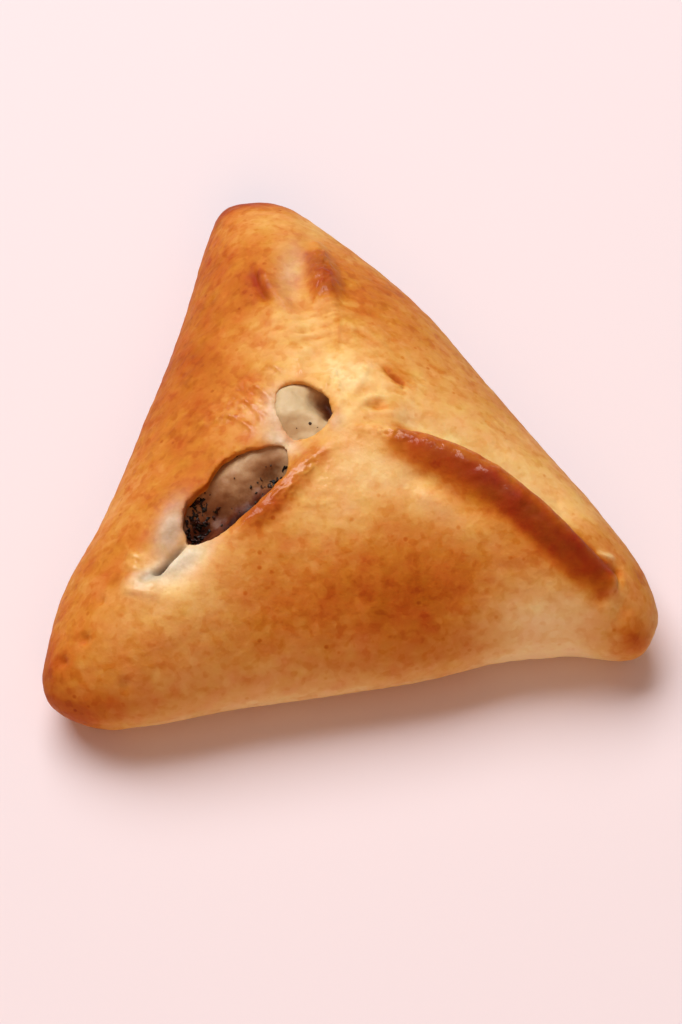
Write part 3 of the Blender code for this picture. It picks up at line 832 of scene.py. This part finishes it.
# Ground pepper: dry, dark brown specks.
def ground_pepper(tree):
    coords = add_node(tree, "ShaderNodeTexCoord").outputs["Object"]
    patches = {"Vector": coords, "Scale": per_mm(0.3), "Detail": 1}
    husk = add_node(tree, "ShaderNodeTexNoise", patches).outputs[0]
    colour = colour_by(tree, husk, [(0.4, "#22160b"), (0.6, "#4a3018")])
    shader = add_node(tree, "ShaderNodeBsdfPrincipled", {
        "Base Color": colour, "Roughness": 0.7, "IOR": 1.45,
    })
    add_node(tree, "ShaderNodeOutputMaterial", {"Surface": shader.outputs[0]})


# Matt pale pink card.
def pale_card(tree):
    shader = add_node(tree, "ShaderNodeBsdfPrincipled", {
        "Base Color": (*hex_to_linear(FLOOR_COLOUR), 1), "Roughness": 0.9, "Specular IOR Level": 0.1,
    })
    add_node(tree, "ShaderNodeOutputMaterial", {"Surface": shader.outputs[0]})


# How baked the crust is, from 0, pale, to 1, dark. The flaps differ, as they lay differently in the heat.
# The border at the burst seam is soft, and from one share of its way to the other it grows softer still.
BAKING_OF_FLAPS = {"left": 0.69, "right": 0.53, "front": 0.57}
BORDER, BORDER_AT_CORNER = 2, 9
BORDER_WIDENS = (0.55, 0.85)

# A spot has two spreads in mm, and the turn of the first from +X in degrees.
Spot = namedtuple("Spot", "x y long wide turn amount")
BAKING_SPOTS = [
    # Paler round the crown, where the stretched dough is thin.
    Spot(-1, 0, 10, 9, 0, -0.33),
    Spot(-11, 10, 8, 12, 10, -0.28),
    Spot(-13, 33, 4, 6, 0, -0.14),
    Spot(-19, -7, 6, 6, 0, -0.20),
    Spot(1, -17, 12, 6, 5, -0.35),
    Spot(-4, -25, 9, 4, 0, -0.14),
    Spot(15, -23, 10, 3, -30, -0.22),
    # Browner in the middle of the front flap, and nearly raw where it bulges over the plate.
    Spot(10, -36, 15, 5, 0, 0.16),
    Spot(33, -38, 11, 4.5, 5, -0.52),
    Spot(26, -36, 6, 5, 0, -0.10),
    Spot(-8, -48, 26, 3.5, 5, -0.18),
    # Paler round the tuck and towards the left corner.
    Spot(-29, -32, 6, 5, 40, -0.32),
    Spot(-26, -39, 7, 5, 20, -0.16),
    Spot(-18, -30, 5, 4, 0, -0.10),
    Spot(-41, -15, 7, 12, -20, -0.14),
    Spot(-38, -38, 12, 10, 0, -0.15),
    # Browner corners.
    Spot(-52, -46, 4, 7, 0, 0.16),
    Spot(-46, -53, 8, 2.6, 5, 0.18),
    Spot(-17, 50, 9, 3, 0, 0.12),
    Spot(-14, 43, 8, 6, 0, -0.21),
    Spot(-11.0, -10.8, 3.0, 2.0, 0, -0.14),
    Spot(48.2, -40.8, 4.2, 3.0, 20, 0.24),
    Spot(48.6, -29.2, 1.6, 1.0, -60, 0.12),
    Spot(-39.6, -33.4, 1.6, 1.4, 0, 0.22),
    Spot(25, -4, 12, 5, -40, -0.06),
    Spot(4, 24, 8, 9, -60, 0.13),
    Spot(8, 4, 3.4, 1.6, -45, 0.20),
    Spot(3.8, -4.0, 1.8, 0.9, -10, 0.22),
    Spot(1.2, -1.2, 2.2, 0.9, 50, 0.18),
    Spot(-30, 14, 5, 9, 20, 0.06),
]
Band = namedtuple("Band", "path left right fade amount power", defaults=[2])
BAKING_BANDS = [
    Band([*RIDGE_ROLL[1:], (44.4, -33.2)], 3.4, 4.3, 0.08, 0.36, 6),
    Band(RIDGE_SLIVER, 0.5, 0.5, 0.30, -0.40),
    Band(FAR_RIM, 2.6, 2.6, 0.20, 0.13),
    Band(RIDGE_BACK, 6.5, 3.6, 0.15, -0.26),
    Band(PINCH_RIGHT, 3.4, 3.0, 0.20, 0.26, 3),
    Band(FAR_CREASE, 0.8, 0.9, 0.25, 0.14),
    Band(FAR_CREASE, 2.6, 3.6, 0.25, 0.08),
    Band(FAR_PLEAT, 4.0, 2.4, 0.20, -0.06),
    Band(FRONT_LIP, 2.4, 3.0, 0.15, 0.22, 3),
    Band(SKIN_CRACK, 0.7, 0.7, 0.20, 0.30),
    Band(FAR_THREAD, 0.6, 0.6, 0.30, 0.09),
    *(Band(path, 0.6, 0.6, 0.30, 0.10) for path in HOLE_WRINKLES),
    *(Band(path, 0.9, 0.9, 0.30, -0.10) for path in TUCK_WRINKLES),
    *(Band(path, 1.0, 0.9, 0.35, -0.09) for path in CROWN_WEBS),
    *(Band(path, 1.3, 1.1, 0.40, -0.04) for path in FAR_WEBS),
]
CRUMPLE_SHADE = 0.40  # painted shade and light: browner for each millimetre that a crumple goes down, paler where it rises
CRUMPLE_SHADE_UP_TO = (0.55, 0.75)  # where it is more baked than this, no shade or light is painted on the crumples
PIT_SHADE = 0.05  # painted shade: small dents are painted browner by this for each millimetre that one goes down
LOW_EDGE = (14.0, 5.0)  # heights between which the front side turns pale towards the plate
LOW_EDGE_PALER = -0.30
LOW_EDGE_FRONT = (30.0, 38.0)  # how far in front of the middle that begins
LOW_EDGE_FROM = (-47.0, -36.0)  # the left corner stays brown down to the plate

# Inside the openings the torn dough is half baked. In the small opening's right gap and along the large
# one's lower edge and left end it is darker red-brown, partly juice stain and partly painted shade; at the
# small opening's left it is painted lighter, as painted light.
WALL_BAKING = 0.44
WALL_DEPTHS = (0.9, 2.2)  # depths below the skin over which it turns to that
WALL_STAIN_AND_SHADE_SPOTS = [
    Spot(-4.0, -3.4, 2.6, 4.0, 0, 0.40),
    Spot(-17.0, -23.5, 10.0, 2.2, 38, 0.40),
    Spot(-27.5, -25.0, 3.0, 5.0, 0, 0.44),
    Spot(-12.0, -3.0, 2.0, 5.0, 0, -0.50),
]

# Where the dough is nearly raw: folded away from the heat, floury and grey.
RAW_SPOTS = [
    Spot(-30.4, -25.6, 2.4, 5.0, -12, 0.80),
    Spot(-27.6, -31.4, 4.8, 2.2, 40, 1.00),
    Spot(-33.4, -33.4, 3.2, 1.6, 25, 0.90),
    Spot(-10.9, 28.0, 2.2, 7.0, -4, 0.30),
    Spot(-13.0, -4.6, 2.0, 4.6, 0, 0.65),
    Spot(-12.0, -10.4, 3.0, 1.6, -30, 0.70),
    Spot(-2.6, -7.6, 1.4, 1.8, 0, 0.40),
]

# Painted shade: fine folds deeper than this are painted dark inside, and so are some hollows of the tuck.
CLEFT_FROM, CREASE_SHADE_DARKNESS = -1.4, 0.75
CREASE_SHADE_SPOTS = [Spot(-30.6, -26.6, 1.8, 4.2, -12, 0.34), Spot(-33.6, -33.4, 2.2, 1.3, 30, 0.36)]

# How dark the filling is: a little stained with juice everywhere, darker the deeper it lies below the
# crust's top, and darker or lighter in spots.
JUICE_EVERYWHERE, DARKER_DEEP = 0.06, 0.25
DARKER_DEPTHS = (3.0, 8.0)
JUICE_AND_SHADE_SPOTS = [
    # Darker over the large opening, partly juice stain and partly painted shade, and lighter on the lump in
    # its middle, as painted light.
    Spot(-21.0, -20.5, 13, 6.5, 42, 0.68),
    Spot(-19.5, -17.5, 3.6, 2.8, 40, -0.20),
    Spot(-13.0, -14.0, 2.6, 2.6, 0, 0.12),
    # Red-brown juice by the leaves, and painted shade, partly juice, under the front lip and in the small
    # gap.
    Spot(-27.0, -26.0, 2.6, 4.0, -20, 0.32),
    Spot(-17.4, -23.6, 9.0, 2.6, 42, 0.75),
    Spot(-4.2, -3.0, 2.2, 3.4, 20, 0.72),
]

# How thickly leaves and pepper lie on the filling.
HERB_SPOTS = [Spot(-26.9, -22.4, 1.7, 4.4, -14, 1.0), Spot(-13.8, -17.0, 1.9, 1.0, 40, 1.0)]
PEPPER_SPOTS = [Spot(-18.0, -17.0, 8, 5, 42, 1.0), Spot(-9.0, -5.0, 4, 4, 0, 0.25)]

# Where the egg wash lies thick enough to shine.
GLAZE_SPOTS = [
    Spot(0.0, -18.0, 12, 7, 5, 0.26),
    Spot(-18.0, -3.0, 6, 6, 0, 0.12),
    Spot(-9.0, -17.0, 2.5, 5, -40, 0.18),
    Spot(-33.4, -33.4, 4.0, 3.0, 25, 0.25),
]
GLAZE_BANDS = [
    Band(RIDGE_CREST, 1.1, 1.2, 0.05, 0.50),
    Band(CORNER_HUG, 1.0, 1.0, 0.30, 0.18),
    Band(PINCH_RIGHT, 2.6, 2.2, 0.20, 0.25),
    Band(FRONT_LIP, 1.8, 2.0, 0.15, 0.26),
    Band(RIDGE_SLIVER, 0.6, 0.6, 0.30, 0.40),
    Band(FAR_STRAND, 1.0, 1.0, 0.20, 0.14),
    *(Band(path, 1.0, 0.8, 0.30, 0.35) for path in HOLE_WRINKLES + TUCK_WRINKLES),
]


def spotted(plan, spots):
    """Sum of soft spots over the plan."""
    total = np.zeros(plan.x.shape)
    for spot in spots:
        turn = math.radians(spot.turn)
        dx, dy = plan.x - spot.x, plan.y - spot.y
        along = (dx * math.cos(turn) + dy * math.sin(turn)) / spot.long
        across = (dy * math.cos(turn) - dx * math.sin(turn)) / spot.wide
        total += spot.amount * np.exp(-(along**2) - across**2)
    return total


def banded(plan, bands):
    """Sum of soft bands along paths over the plan."""
    return sum(
        item.amount * band(item.path, plan.x, plan.y, item.left, item.right, item.fade, item.power)
        for item in bands
    )


def baking_map(plan):
    """How baked the top is: each flap's own value, run together over the seams, and what varies it."""
    past_pleat, _ = near_path([*FAR_PLEAT, CORNERS["far"]], plan.x, plan.y)
    past_ridge, _ = near_path([*RIDGE, CORNERS["right"]], plan.x, plan.y)
    past_burst, along = near_path([*BURST_SEAM, CORNERS["left"]], plan.x, plan.y)
    right = smooth_step(-past_pleat, -2, 4) * smooth_step(past_ridge, -2, 1)
    border = BORDER + (BORDER_AT_CORNER - BORDER) * smooth_step(along, *BORDER_WIDENS)
    front = smooth_step(past_burst / border, -1, 1) * smooth_step(-past_ridge, -1, 2)
    total = BAKING_OF_FLAPS["left"] + (BAKING_OF_FLAPS["right"] - BAKING_OF_FLAPS["left"]) * right
    total = total + (BAKING_OF_FLAPS["front"] - total) * front
    return total + spotted(plan, BAKING_SPOTS) + banded(plan, BAKING_BANDS)


class PastrySizes(bpy.types.PropertyGroup):
    """Sizes that a user would change."""

    grid: bpy.props.FloatProperty(
        name="Surface step", description="Spacing of the surface points of crust and filling",
        default=0.5 * MM, min=0.3 * MM, precision=5, unit="LENGTH",
    )
    wrinkles: bpy.props.FloatProperty(
        name="Wrinkles", description="Depth of the fine wrinkles in the baked skin",
        default=0.10 * MM, min=0, precision=5, unit="LENGTH",
    )
    unevenness: bpy.props.FloatProperty(
        name="Unevenness", description="Height of the broad swells of the dough",
        default=0.21 * MM, min=0, precision=5, unit="LENGTH",
    )
    leaves: bpy.props.FloatProperty(
        name="Leaves", description="Scraps of cooked leaf to a square millimetre where they lie thickest",
        default=3.2, min=0,
    )
    pepper: bpy.props.FloatProperty(
        name="Pepper", description="Grains of pepper to a square millimetre where they lie thickest",
        default=0.12, min=0,
    )


class PastryColours(bpy.types.PropertyGroup):
    """Colours that a user would change."""

    key_light: bpy.props.FloatVectorProperty(
        name="Key light", description="Colour of the large soft light",
        subtype="COLOR", default=hex_to_linear("#fffefe"),
    )
    fill_light: bpy.props.FloatVectorProperty(
        name="Fill light", description="Colour of the weak light in front",
        subtype="COLOR", default=hex_to_linear("#ffb37c"),
    )
    room: bpy.props.FloatVectorProperty(
        name="Room", description="Colour of the light from all round",
        subtype="COLOR", default=hex_to_linear("#fff3ee"),
    )


class PASTRY_OT_crust(bpy.types.Operator):
    """Adds the baked crust, with its folds, openings and browning"""

    bl_idname = "pastry.crust"
    bl_label = "Crust"

    def execute(self, context):
        sizes = context.scene.pastry_sizes
        plan = Plan(in_mm(sizes.grid))
        points, faces = surface_through(crust_field(plan), plan)
        points = relax(points, faces, 3)
        crust = link("baked_crust", new_mesh("baked_crust", points, faces))
        opening, depth = plan.sample(plan.opening, points), plan.sample(plan.top, points) - points[:, 2]
        share = plan.sample(plan.share, points)
        buried = (depth > BURIED_DEPTH) & (share < FLANK_SHARE) & (points[:, 2] > 1)
        buried &= (opening > SEEN_PAST_RIM) | (points[:, 2] < BASE_DOUGH + 1)
        thin_out(crust, buried | (points[:, 2] < UNDERSIDE), KEPT_WHERE_HIDDEN)
        points = points_of(crust.data)
        detail = abs(plan.sample(plan.opening, points)) < DETAIL_REACH
        narrow = [fold.path for fold in FINE_FOLDS if min(fold.left, fold.right) < FINE_SPREAD]
        for path in narrow + DETAIL_PATHS:
            distance, _ = near_path(path, plan.x, plan.y)
            detail |= plan.sample(abs(distance), points) < DETAIL_REACH
        refine(crust.data, detail & (plan.sample(plan.top, points) - points[:, 2] < DETAIL_DEPTH))
        crumpled = crumpled_relief(points_of(crust.data))
        self.wrinkle(crust.data, sizes, crumpled)
        self.paint_baking_and_shade(crust.data, plan, crumpled)
        crust.data.materials.clear()
        crust.data.materials.append(material("egg_washed_dough", baked_dough))
        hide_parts("crust")
        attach(crust, "root")
        return {"FINISHED"}

    def paint_baking_and_shade(self, mesh, plan, crumpled):
        """Paints how baked, how raw and how glazed each point is, and its painted shade and light."""
        points = points_of(mesh)
        top = plan.sample(plan.top, points)
        inner = smooth_step(top - points[:, 2], *WALL_DEPTHS)
        inner *= plan.sample(plan.opening, points) < OPENING_NEAR
        inner *= plan.sample(plan.share, points) < FLANK_SHARE
        front = smooth_step(-points[:, 1], *LOW_EDGE_FRONT) * smooth_step(points[:, 0], *LOW_EDGE_FROM)
        low = 1 - smooth_step(points[:, 2], *LOW_EDGE[::-1])
        baking_and_shade = plan.sample(baking_map(plan), points) + LOW_EDGE_PALER * low * front
        # Painted shade in the crumples' hollows and painted light on their crests.
        baking_and_shade -= CRUMPLE_SHADE * crumpled * (1 - smooth_step(baking_and_shade, *CRUMPLE_SHADE_UP_TO))
        # Painted shade: small dents are painted browner the deeper they go.
        baking_and_shade -= PIT_SHADE * pits_relief(points)
        # The openings' walls: juice stain and painted shade in the gaps, painted light at the small
        # opening's left.
        wall = WALL_BAKING + plan.sample(spotted(plan, WALL_STAIN_AND_SHADE_SPOTS), points)
        paint(mesh, "baking_and_shade", baking_and_shade + (wall - baking_and_shade) * inner)
        paint(mesh, "raw", np.clip(plan.sample(spotted(plan, RAW_SPOTS), points), 0, 1) * (1 - inner))
        shine = plan.sample(spotted(plan, GLAZE_SPOTS) + banded(plan, GLAZE_BANDS), points)
        paint(mesh, "glaze", np.clip(shine, 0, 1))
        # Painted shade in the deepest fine folds and in some hollows of the tuck.
        crease_shade_share = fine_relief(points, [fold for fold in FINE_FOLDS if fold.height < CLEFT_FROM]) / CLEFT_FROM
        dark = CREASE_SHADE_DARKNESS * crease_shade_share + plan.sample(spotted(plan, CREASE_SHADE_SPOTS), points)
        paint(mesh, "crease_shade", np.clip(dark, 0, 1))

    def wrinkle(self, mesh, sizes, crumpled):
        """Moves the skin by swells, wrinkles, crumpled patches, fine folds and dents, down to the base."""
        points, normals = points_of(mesh), normals_of(mesh)
        above = smooth_step(points[:, 2], *RELIEF_FROM)
        swell = ripple(points, SWELL_SIZE, 1) * in_mm(sizes.unevenness)
        fine = ripple(points, WRINKLE_SIZE, 3, WRINKLE_STRETCH) * in_mm(sizes.wrinkles)
        creases = (fine_relief(points, FINE_FOLDS) + pits_relief(points)) * (normals[:, 2] > 0)
        moved = points + normals * ((swell + fine + crumpled + creases) * above)[:, None]
        moved[:, 2] = np.maximum(moved[:, 2], 0)
        set_points(mesh, moved)


class PASTRY_OT_filling(bpy.types.Operator):
    """Adds the filling that shows in the openings"""

    bl_idname = "pastry.filling"
    bl_label = "Filling"

    def execute(self, context):
        plan = Plan(in_mm(context.scene.pastry_sizes.grid))
        points, faces = surface_through(filling_field(plan), plan)
        points = relax(points, faces, 2)
        filling = link("moist_filling", new_mesh("moist_filling", points, faces))
        thin_out(filling, plan.sample(plan.opening, points) > SEEN_PAST_RIM, FILLING_KEPT_WHERE_HIDDEN)
        points = points_of(filling.data)
        shown = smooth_step(-plan.sample(plan.opening, points), -1.5, 1)
        crumbs = ripple(points, CRUMB_SIZE, 2) * CRUMB_HEIGHT * shown
        set_points(filling.data, points + normals_of(filling.data) * crumbs[:, None])
        # Juice stain, darker deeper below the crust's top, with painted shade and painted light in spots.
        low = smooth_step(plan.sample(plan.top, points) - points[:, 2], *DARKER_DEPTHS)
        juice_and_shade = plan.sample(JUICE_EVERYWHERE + spotted(plan, JUICE_AND_SHADE_SPOTS), points) + DARKER_DEEP * low
        paint(filling.data, "juice_and_shade", juice_and_shade)
        for name, spots in (("herbs", HERB_SPOTS), ("pepper", PEPPER_SPOTS)):
            paint(filling.data, name, plan.sample(spotted(plan, spots), points) * shown)
        filling.data.materials.append(material("moist_cheese", moist_cheese))
        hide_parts("filling")
        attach(filling, "root")
        return {"FINISHED"}


# A scrap of leaf: its thickness and curl in mm, and how unevenly it is torn.
LEAF_THICKNESS, LEAF_CURL, LEAF_TEAR = 0.2, 0.3, 1.1


def leaf_scrap():
    """A torn, curled scrap of leaf, a thin shell 2 mm long before it is scaled."""
    bm = bmesh.new()
    bmesh.ops.create_circle(bm, cap_ends=True, segments=9, radius=MM)
    bmesh.ops.triangulate(bm, faces=bm.faces)
    bmesh.ops.subdivide_edges(bm, edges=bm.edges, cuts=1, use_grid_fill=True)
    for vert in bm.verts:
        x, y = vert.co.x / MM, vert.co.y / MM
        tear = 1 + LEAF_TEAR * noise.noise(Vector((2 * x, 2 * y, 3)))
        curl = LEAF_CURL * (x * x - 0.6 * y * y + noise.noise(Vector((3 * x, 3 * y, 7))))
        vert.co = Vector((x * tear, 0.6 * y * tear, curl)) * MM
    bmesh.ops.solidify(bm, geom=bm.faces, thickness=LEAF_THICKNESS * MM)
    return mesh_from(bm, "leaf_scrap")


def pepper_grain():
    """A cracked grain of pepper, 1 mm across before it is scaled."""
    bm = bmesh.new()
    bmesh.ops.create_icosphere(bm, subdivisions=2, radius=0.5 * MM)
    for vert in bm.verts:
        vert.co *= 1 + 0.5 * noise.noise(vert.co / MM * 2.2)
        vert.co.z *= 0.7
    return mesh_from(bm, "pepper_grain")


def mesh_from(bm, name):
    mesh = bpy.data.meshes.new(name)
    bm.to_mesh(mesh)
    bm.free()
    mesh.shade_smooth()
    return mesh


def scatter_tree(weight):
    """Geometry nodes that strew bits over a surface, as thickly as the named attribute says."""
    tree = bpy.data.node_groups.new("scatter_by_" + weight, "GeometryNodeTree")
    tree.interface.new_socket("Surface", in_out="INPUT", socket_type="NodeSocketGeometry")
    for name, kind in (
        ("Bit", "Object"), ("Density", "Float"), ("Smallest", "Float"), ("Largest", "Float"),
        ("Tilt", "Float"), ("Seed", "Int"), ("Material", "Material"),
    ):
        tree.interface.new_socket(name, in_out="INPUT", socket_type="NodeSocket" + kind)
    tree.interface.new_socket("Bits", in_out="OUTPUT", socket_type="NodeSocketGeometry")
    given = add_node(tree, "NodeGroupInput").outputs
    named = {"Name": weight}
    how_thick = add_node(tree, "GeometryNodeInputNamedAttribute", named, data_type="FLOAT").outputs[0]
    thickly = {0: how_thick, 1: given["Density"]}
    density = add_node(tree, "ShaderNodeMath", thickly, operation="MULTIPLY").outputs[0]
    places = add_node(
        tree, "GeometryNodeDistributePointsOnFaces",
        {"Mesh": given["Surface"], "Density": density, "Seed": given["Seed"]},
    ).outputs
    size = add_node(
        tree, "FunctionNodeRandomValue",
        {"Min": given["Smallest"], "Max": given["Largest"], "Seed": given["Seed"]}, data_type="FLOAT",
    )
    bit = add_node(tree, "GeometryNodeObjectInfo", {"Object": given["Bit"]}).outputs["Geometry"]
    strewn = add_node(tree, "GeometryNodeInstanceOnPoints", {
        "Points": places["Points"], "Instance": bit, "Rotation": places["Rotation"],
        "Scale": next(out for out in size.outputs if out.enabled),
    }).outputs[0]
    lean = add_node(tree, "ShaderNodeMath", {0: given["Tilt"], 1: -1}, operation="MULTIPLY").outputs[0]
    least = add_node(tree, "ShaderNodeCombineXYZ", {0: lean, 1: lean, 2: -math.pi}).outputs[0]
    furthest = {0: given["Tilt"], 1: given["Tilt"], 2: math.pi}
    most = add_node(tree, "ShaderNodeCombineXYZ", furthest).outputs[0]
    turn = add_node(
        tree, "FunctionNodeRandomValue",
        {"Min": least, "Max": most, "Seed": given["Seed"]}, data_type="FLOAT_VECTOR",
    )
    turned = add_node(
        tree, "GeometryNodeRotateInstances", {"Instances": strewn, "Rotation": turn.outputs["Value"]}
    ).outputs[0]
    real = add_node(tree, "GeometryNodeRealizeInstances", {"Geometry": turned}).outputs[0]
    dressed = {"Geometry": real, "Material": given["Material"]}
    done = add_node(tree, "GeometryNodeSetMaterial", dressed).outputs[0]
    add_node(tree, "NodeGroupOutput", {"Bits": done})
    return tree


def strew(name, bit_mesh, weight, look, **settings):
    """Strews copies of a small mesh over the filling and makes them one piece."""
    surface = link(name, bpy.data.objects["moist_filling"].data)
    bit = bpy.data.objects.new(name + "_bit", bit_mesh)
    modifier = surface.modifiers.new("scatter", "NODES")
    modifier.node_group = scatter_tree(weight)
    settings.update({"Bit": bit, "Material": look})
    for item in modifier.node_group.interface.items_tree:
        if item.name in settings:
            modifier[item.identifier] = settings[item.name]
    applied(surface)
    bpy.data.objects.remove(bit)
    surface.data.name = name
    surface.data.shade_smooth()
    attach(surface, "root")


class PASTRY_OT_herbs(bpy.types.Operator):
    """Strews cooked leaves and pepper over the filling where it shows"""

    bl_idname = "pastry.herbs"
    bl_label = "Herbs"

    def execute(self, context):
        sizes = context.scene.pastry_sizes
        strew(
            "cooked_leaves", leaf_scrap(), "herbs", material("cooked_leaf", cooked_leaf),
            Density=sizes.leaves / MM**2, Smallest=0.3, Largest=0.95, Tilt=0.9, Seed=4,
        )
        strew(
            "ground_pepper", pepper_grain(), "pepper", material("ground_pepper", ground_pepper),
            Density=sizes.pepper / MM**2, Smallest=0.20, Largest=0.65, Tilt=1.5, Seed=7,
        )
        return {"FINISHED"}


class PASTRY_OT_stage(bpy.types.Operator):
    """Adds the pale floor, the soft lights and the camera"""

    bl_idname = "pastry.stage"
    bl_label = "Stage"

    def execute(self, context):
        scene = context.scene
        scene.view_settings.view_transform = "Standard"
        floor_mesh = bpy.data.meshes.new("floor")
        bm = bmesh.new()
        bmesh.ops.create_grid(bm, x_segments=1, y_segments=1, size=3)
        bm.to_mesh(floor_mesh)
        bm.free()
        floor = link("floor", floor_mesh)
        floor_mesh.materials.append(material("pale_card", pale_card))
        self.add_lights(scene)
        self.add_camera(scene)
        return {"FINISHED"}

    def add_lights(self, scene):
        """A large soft light high behind the pastry, a weak warm one high in front, and a dim room."""
        colours = scene.pastry_colours
        self.add_softbox(scene, "key", KEY, colours.key_light)
        self.add_softbox(scene, "fill", FILL, colours.fill_light)
        world = bpy.data.worlds.new("soft_room")
        world.use_nodes = True
        tree = world.node_tree
        tree.nodes.clear()
        towards = add_node(tree, "ShaderNodeTexCoord").outputs["Generated"]
        height = add_node(
            tree, "ShaderNodeVectorMath", {0: towards, 1: (0, 0.35, 0.94)}, operation="DOT_PRODUCT"
        ).outputs["Value"]
        brighter_above = {0: height, 3: ROOM_LEVELS[0], 4: ROOM_LEVELS[1]}
        level = add_node(tree, "ShaderNodeMapRange", brighter_above).outputs[0]
        room = add_node(tree, "ShaderNodeBackground", {"Color": (*colours.room, 1), "Strength": level})
        add_node(tree, "ShaderNodeOutputWorld", {"Surface": room.outputs[0]})
        scene.world = world

    def add_softbox(self, scene, name, softbox, colour):
        """An area light that faces the pastry."""
        light = bpy.data.lights.new(name, "AREA")
        light.shape = "RECTANGLE"
        light.size, light.size_y = softbox.size
        light.energy = softbox.watts
        light.color = colour
        lamp = bpy.data.objects.new(name, light)
        lamp.location = softbox.place
        lamp.rotation_mode = "QUATERNION"
        lamp.rotation_quaternion = (-lamp.location).to_track_quat("-Z", "Y")
        scene.collection.objects.link(lamp)

    def add_camera(self, scene):
        """The photograph's view: from the front and high above, through a long lens."""
        data = bpy.data.cameras.new("camera")
        data.lens = 85
        data.sensor_width = 36
        camera = bpy.data.objects.new("camera", data)
        elevation = math.radians(CAMERA_ELEVATION)
        back = Vector((0, -math.cos(elevation), math.sin(elevation)))
        camera.location = (Vector(CAMERA_AIM) + back * CAMERA_DISTANCE) * MM
        camera.rotation_mode = "QUATERNION"
        camera.rotation_quaternion = (-back).to_track_quat("-Z", "Y")
        scene.collection.objects.link(camera)
        scene.camera = camera


class PASTRY_PT_panel(bpy.types.Panel):
    """Lists the pastry's operators, sizes and colours"""

    bl_label = "Baked Spinach Pastry"
    bl_space_type = "VIEW_3D"
    bl_region_type = "UI"
    bl_category = "Pastry"

    def draw(self, context):
        for operator in OPERATORS:
            self.layout.operator(operator.bl_idname)
        for group in (context.scene.pastry_sizes, context.scene.pastry_colours):
            for name in group.__annotations__:
                self.layout.prop(group, name)


OPERATORS = [PASTRY_OT_crust, PASTRY_OT_filling, PASTRY_OT_herbs, PASTRY_OT_stage]
CLASSES = [PastrySizes, PastryColours, *OPERATORS, PASTRY_PT_panel]


def register():
    for cls in CLASSES:
        bpy.utils.register_class(cls)
    bpy.types.Scene.pastry_sizes = bpy.props.PointerProperty(type=PastrySizes)
    bpy.types.Scene.pastry_colours = bpy.props.PointerProperty(type=PastryColours)


def unregister():
    del bpy.types.Scene.pastry_colours
    del bpy.types.Scene.pastry_sizes
    for cls in reversed(CLASSES):
        bpy.utils.unregister_class(cls)


def main():
    register()
    bpy.ops.pastry.crust()
    bpy.ops.pastry.filling()
    bpy.ops.pastry.herbs()
    bpy.ops.pastry.stage()


if __name__ == "__main__":
    main()
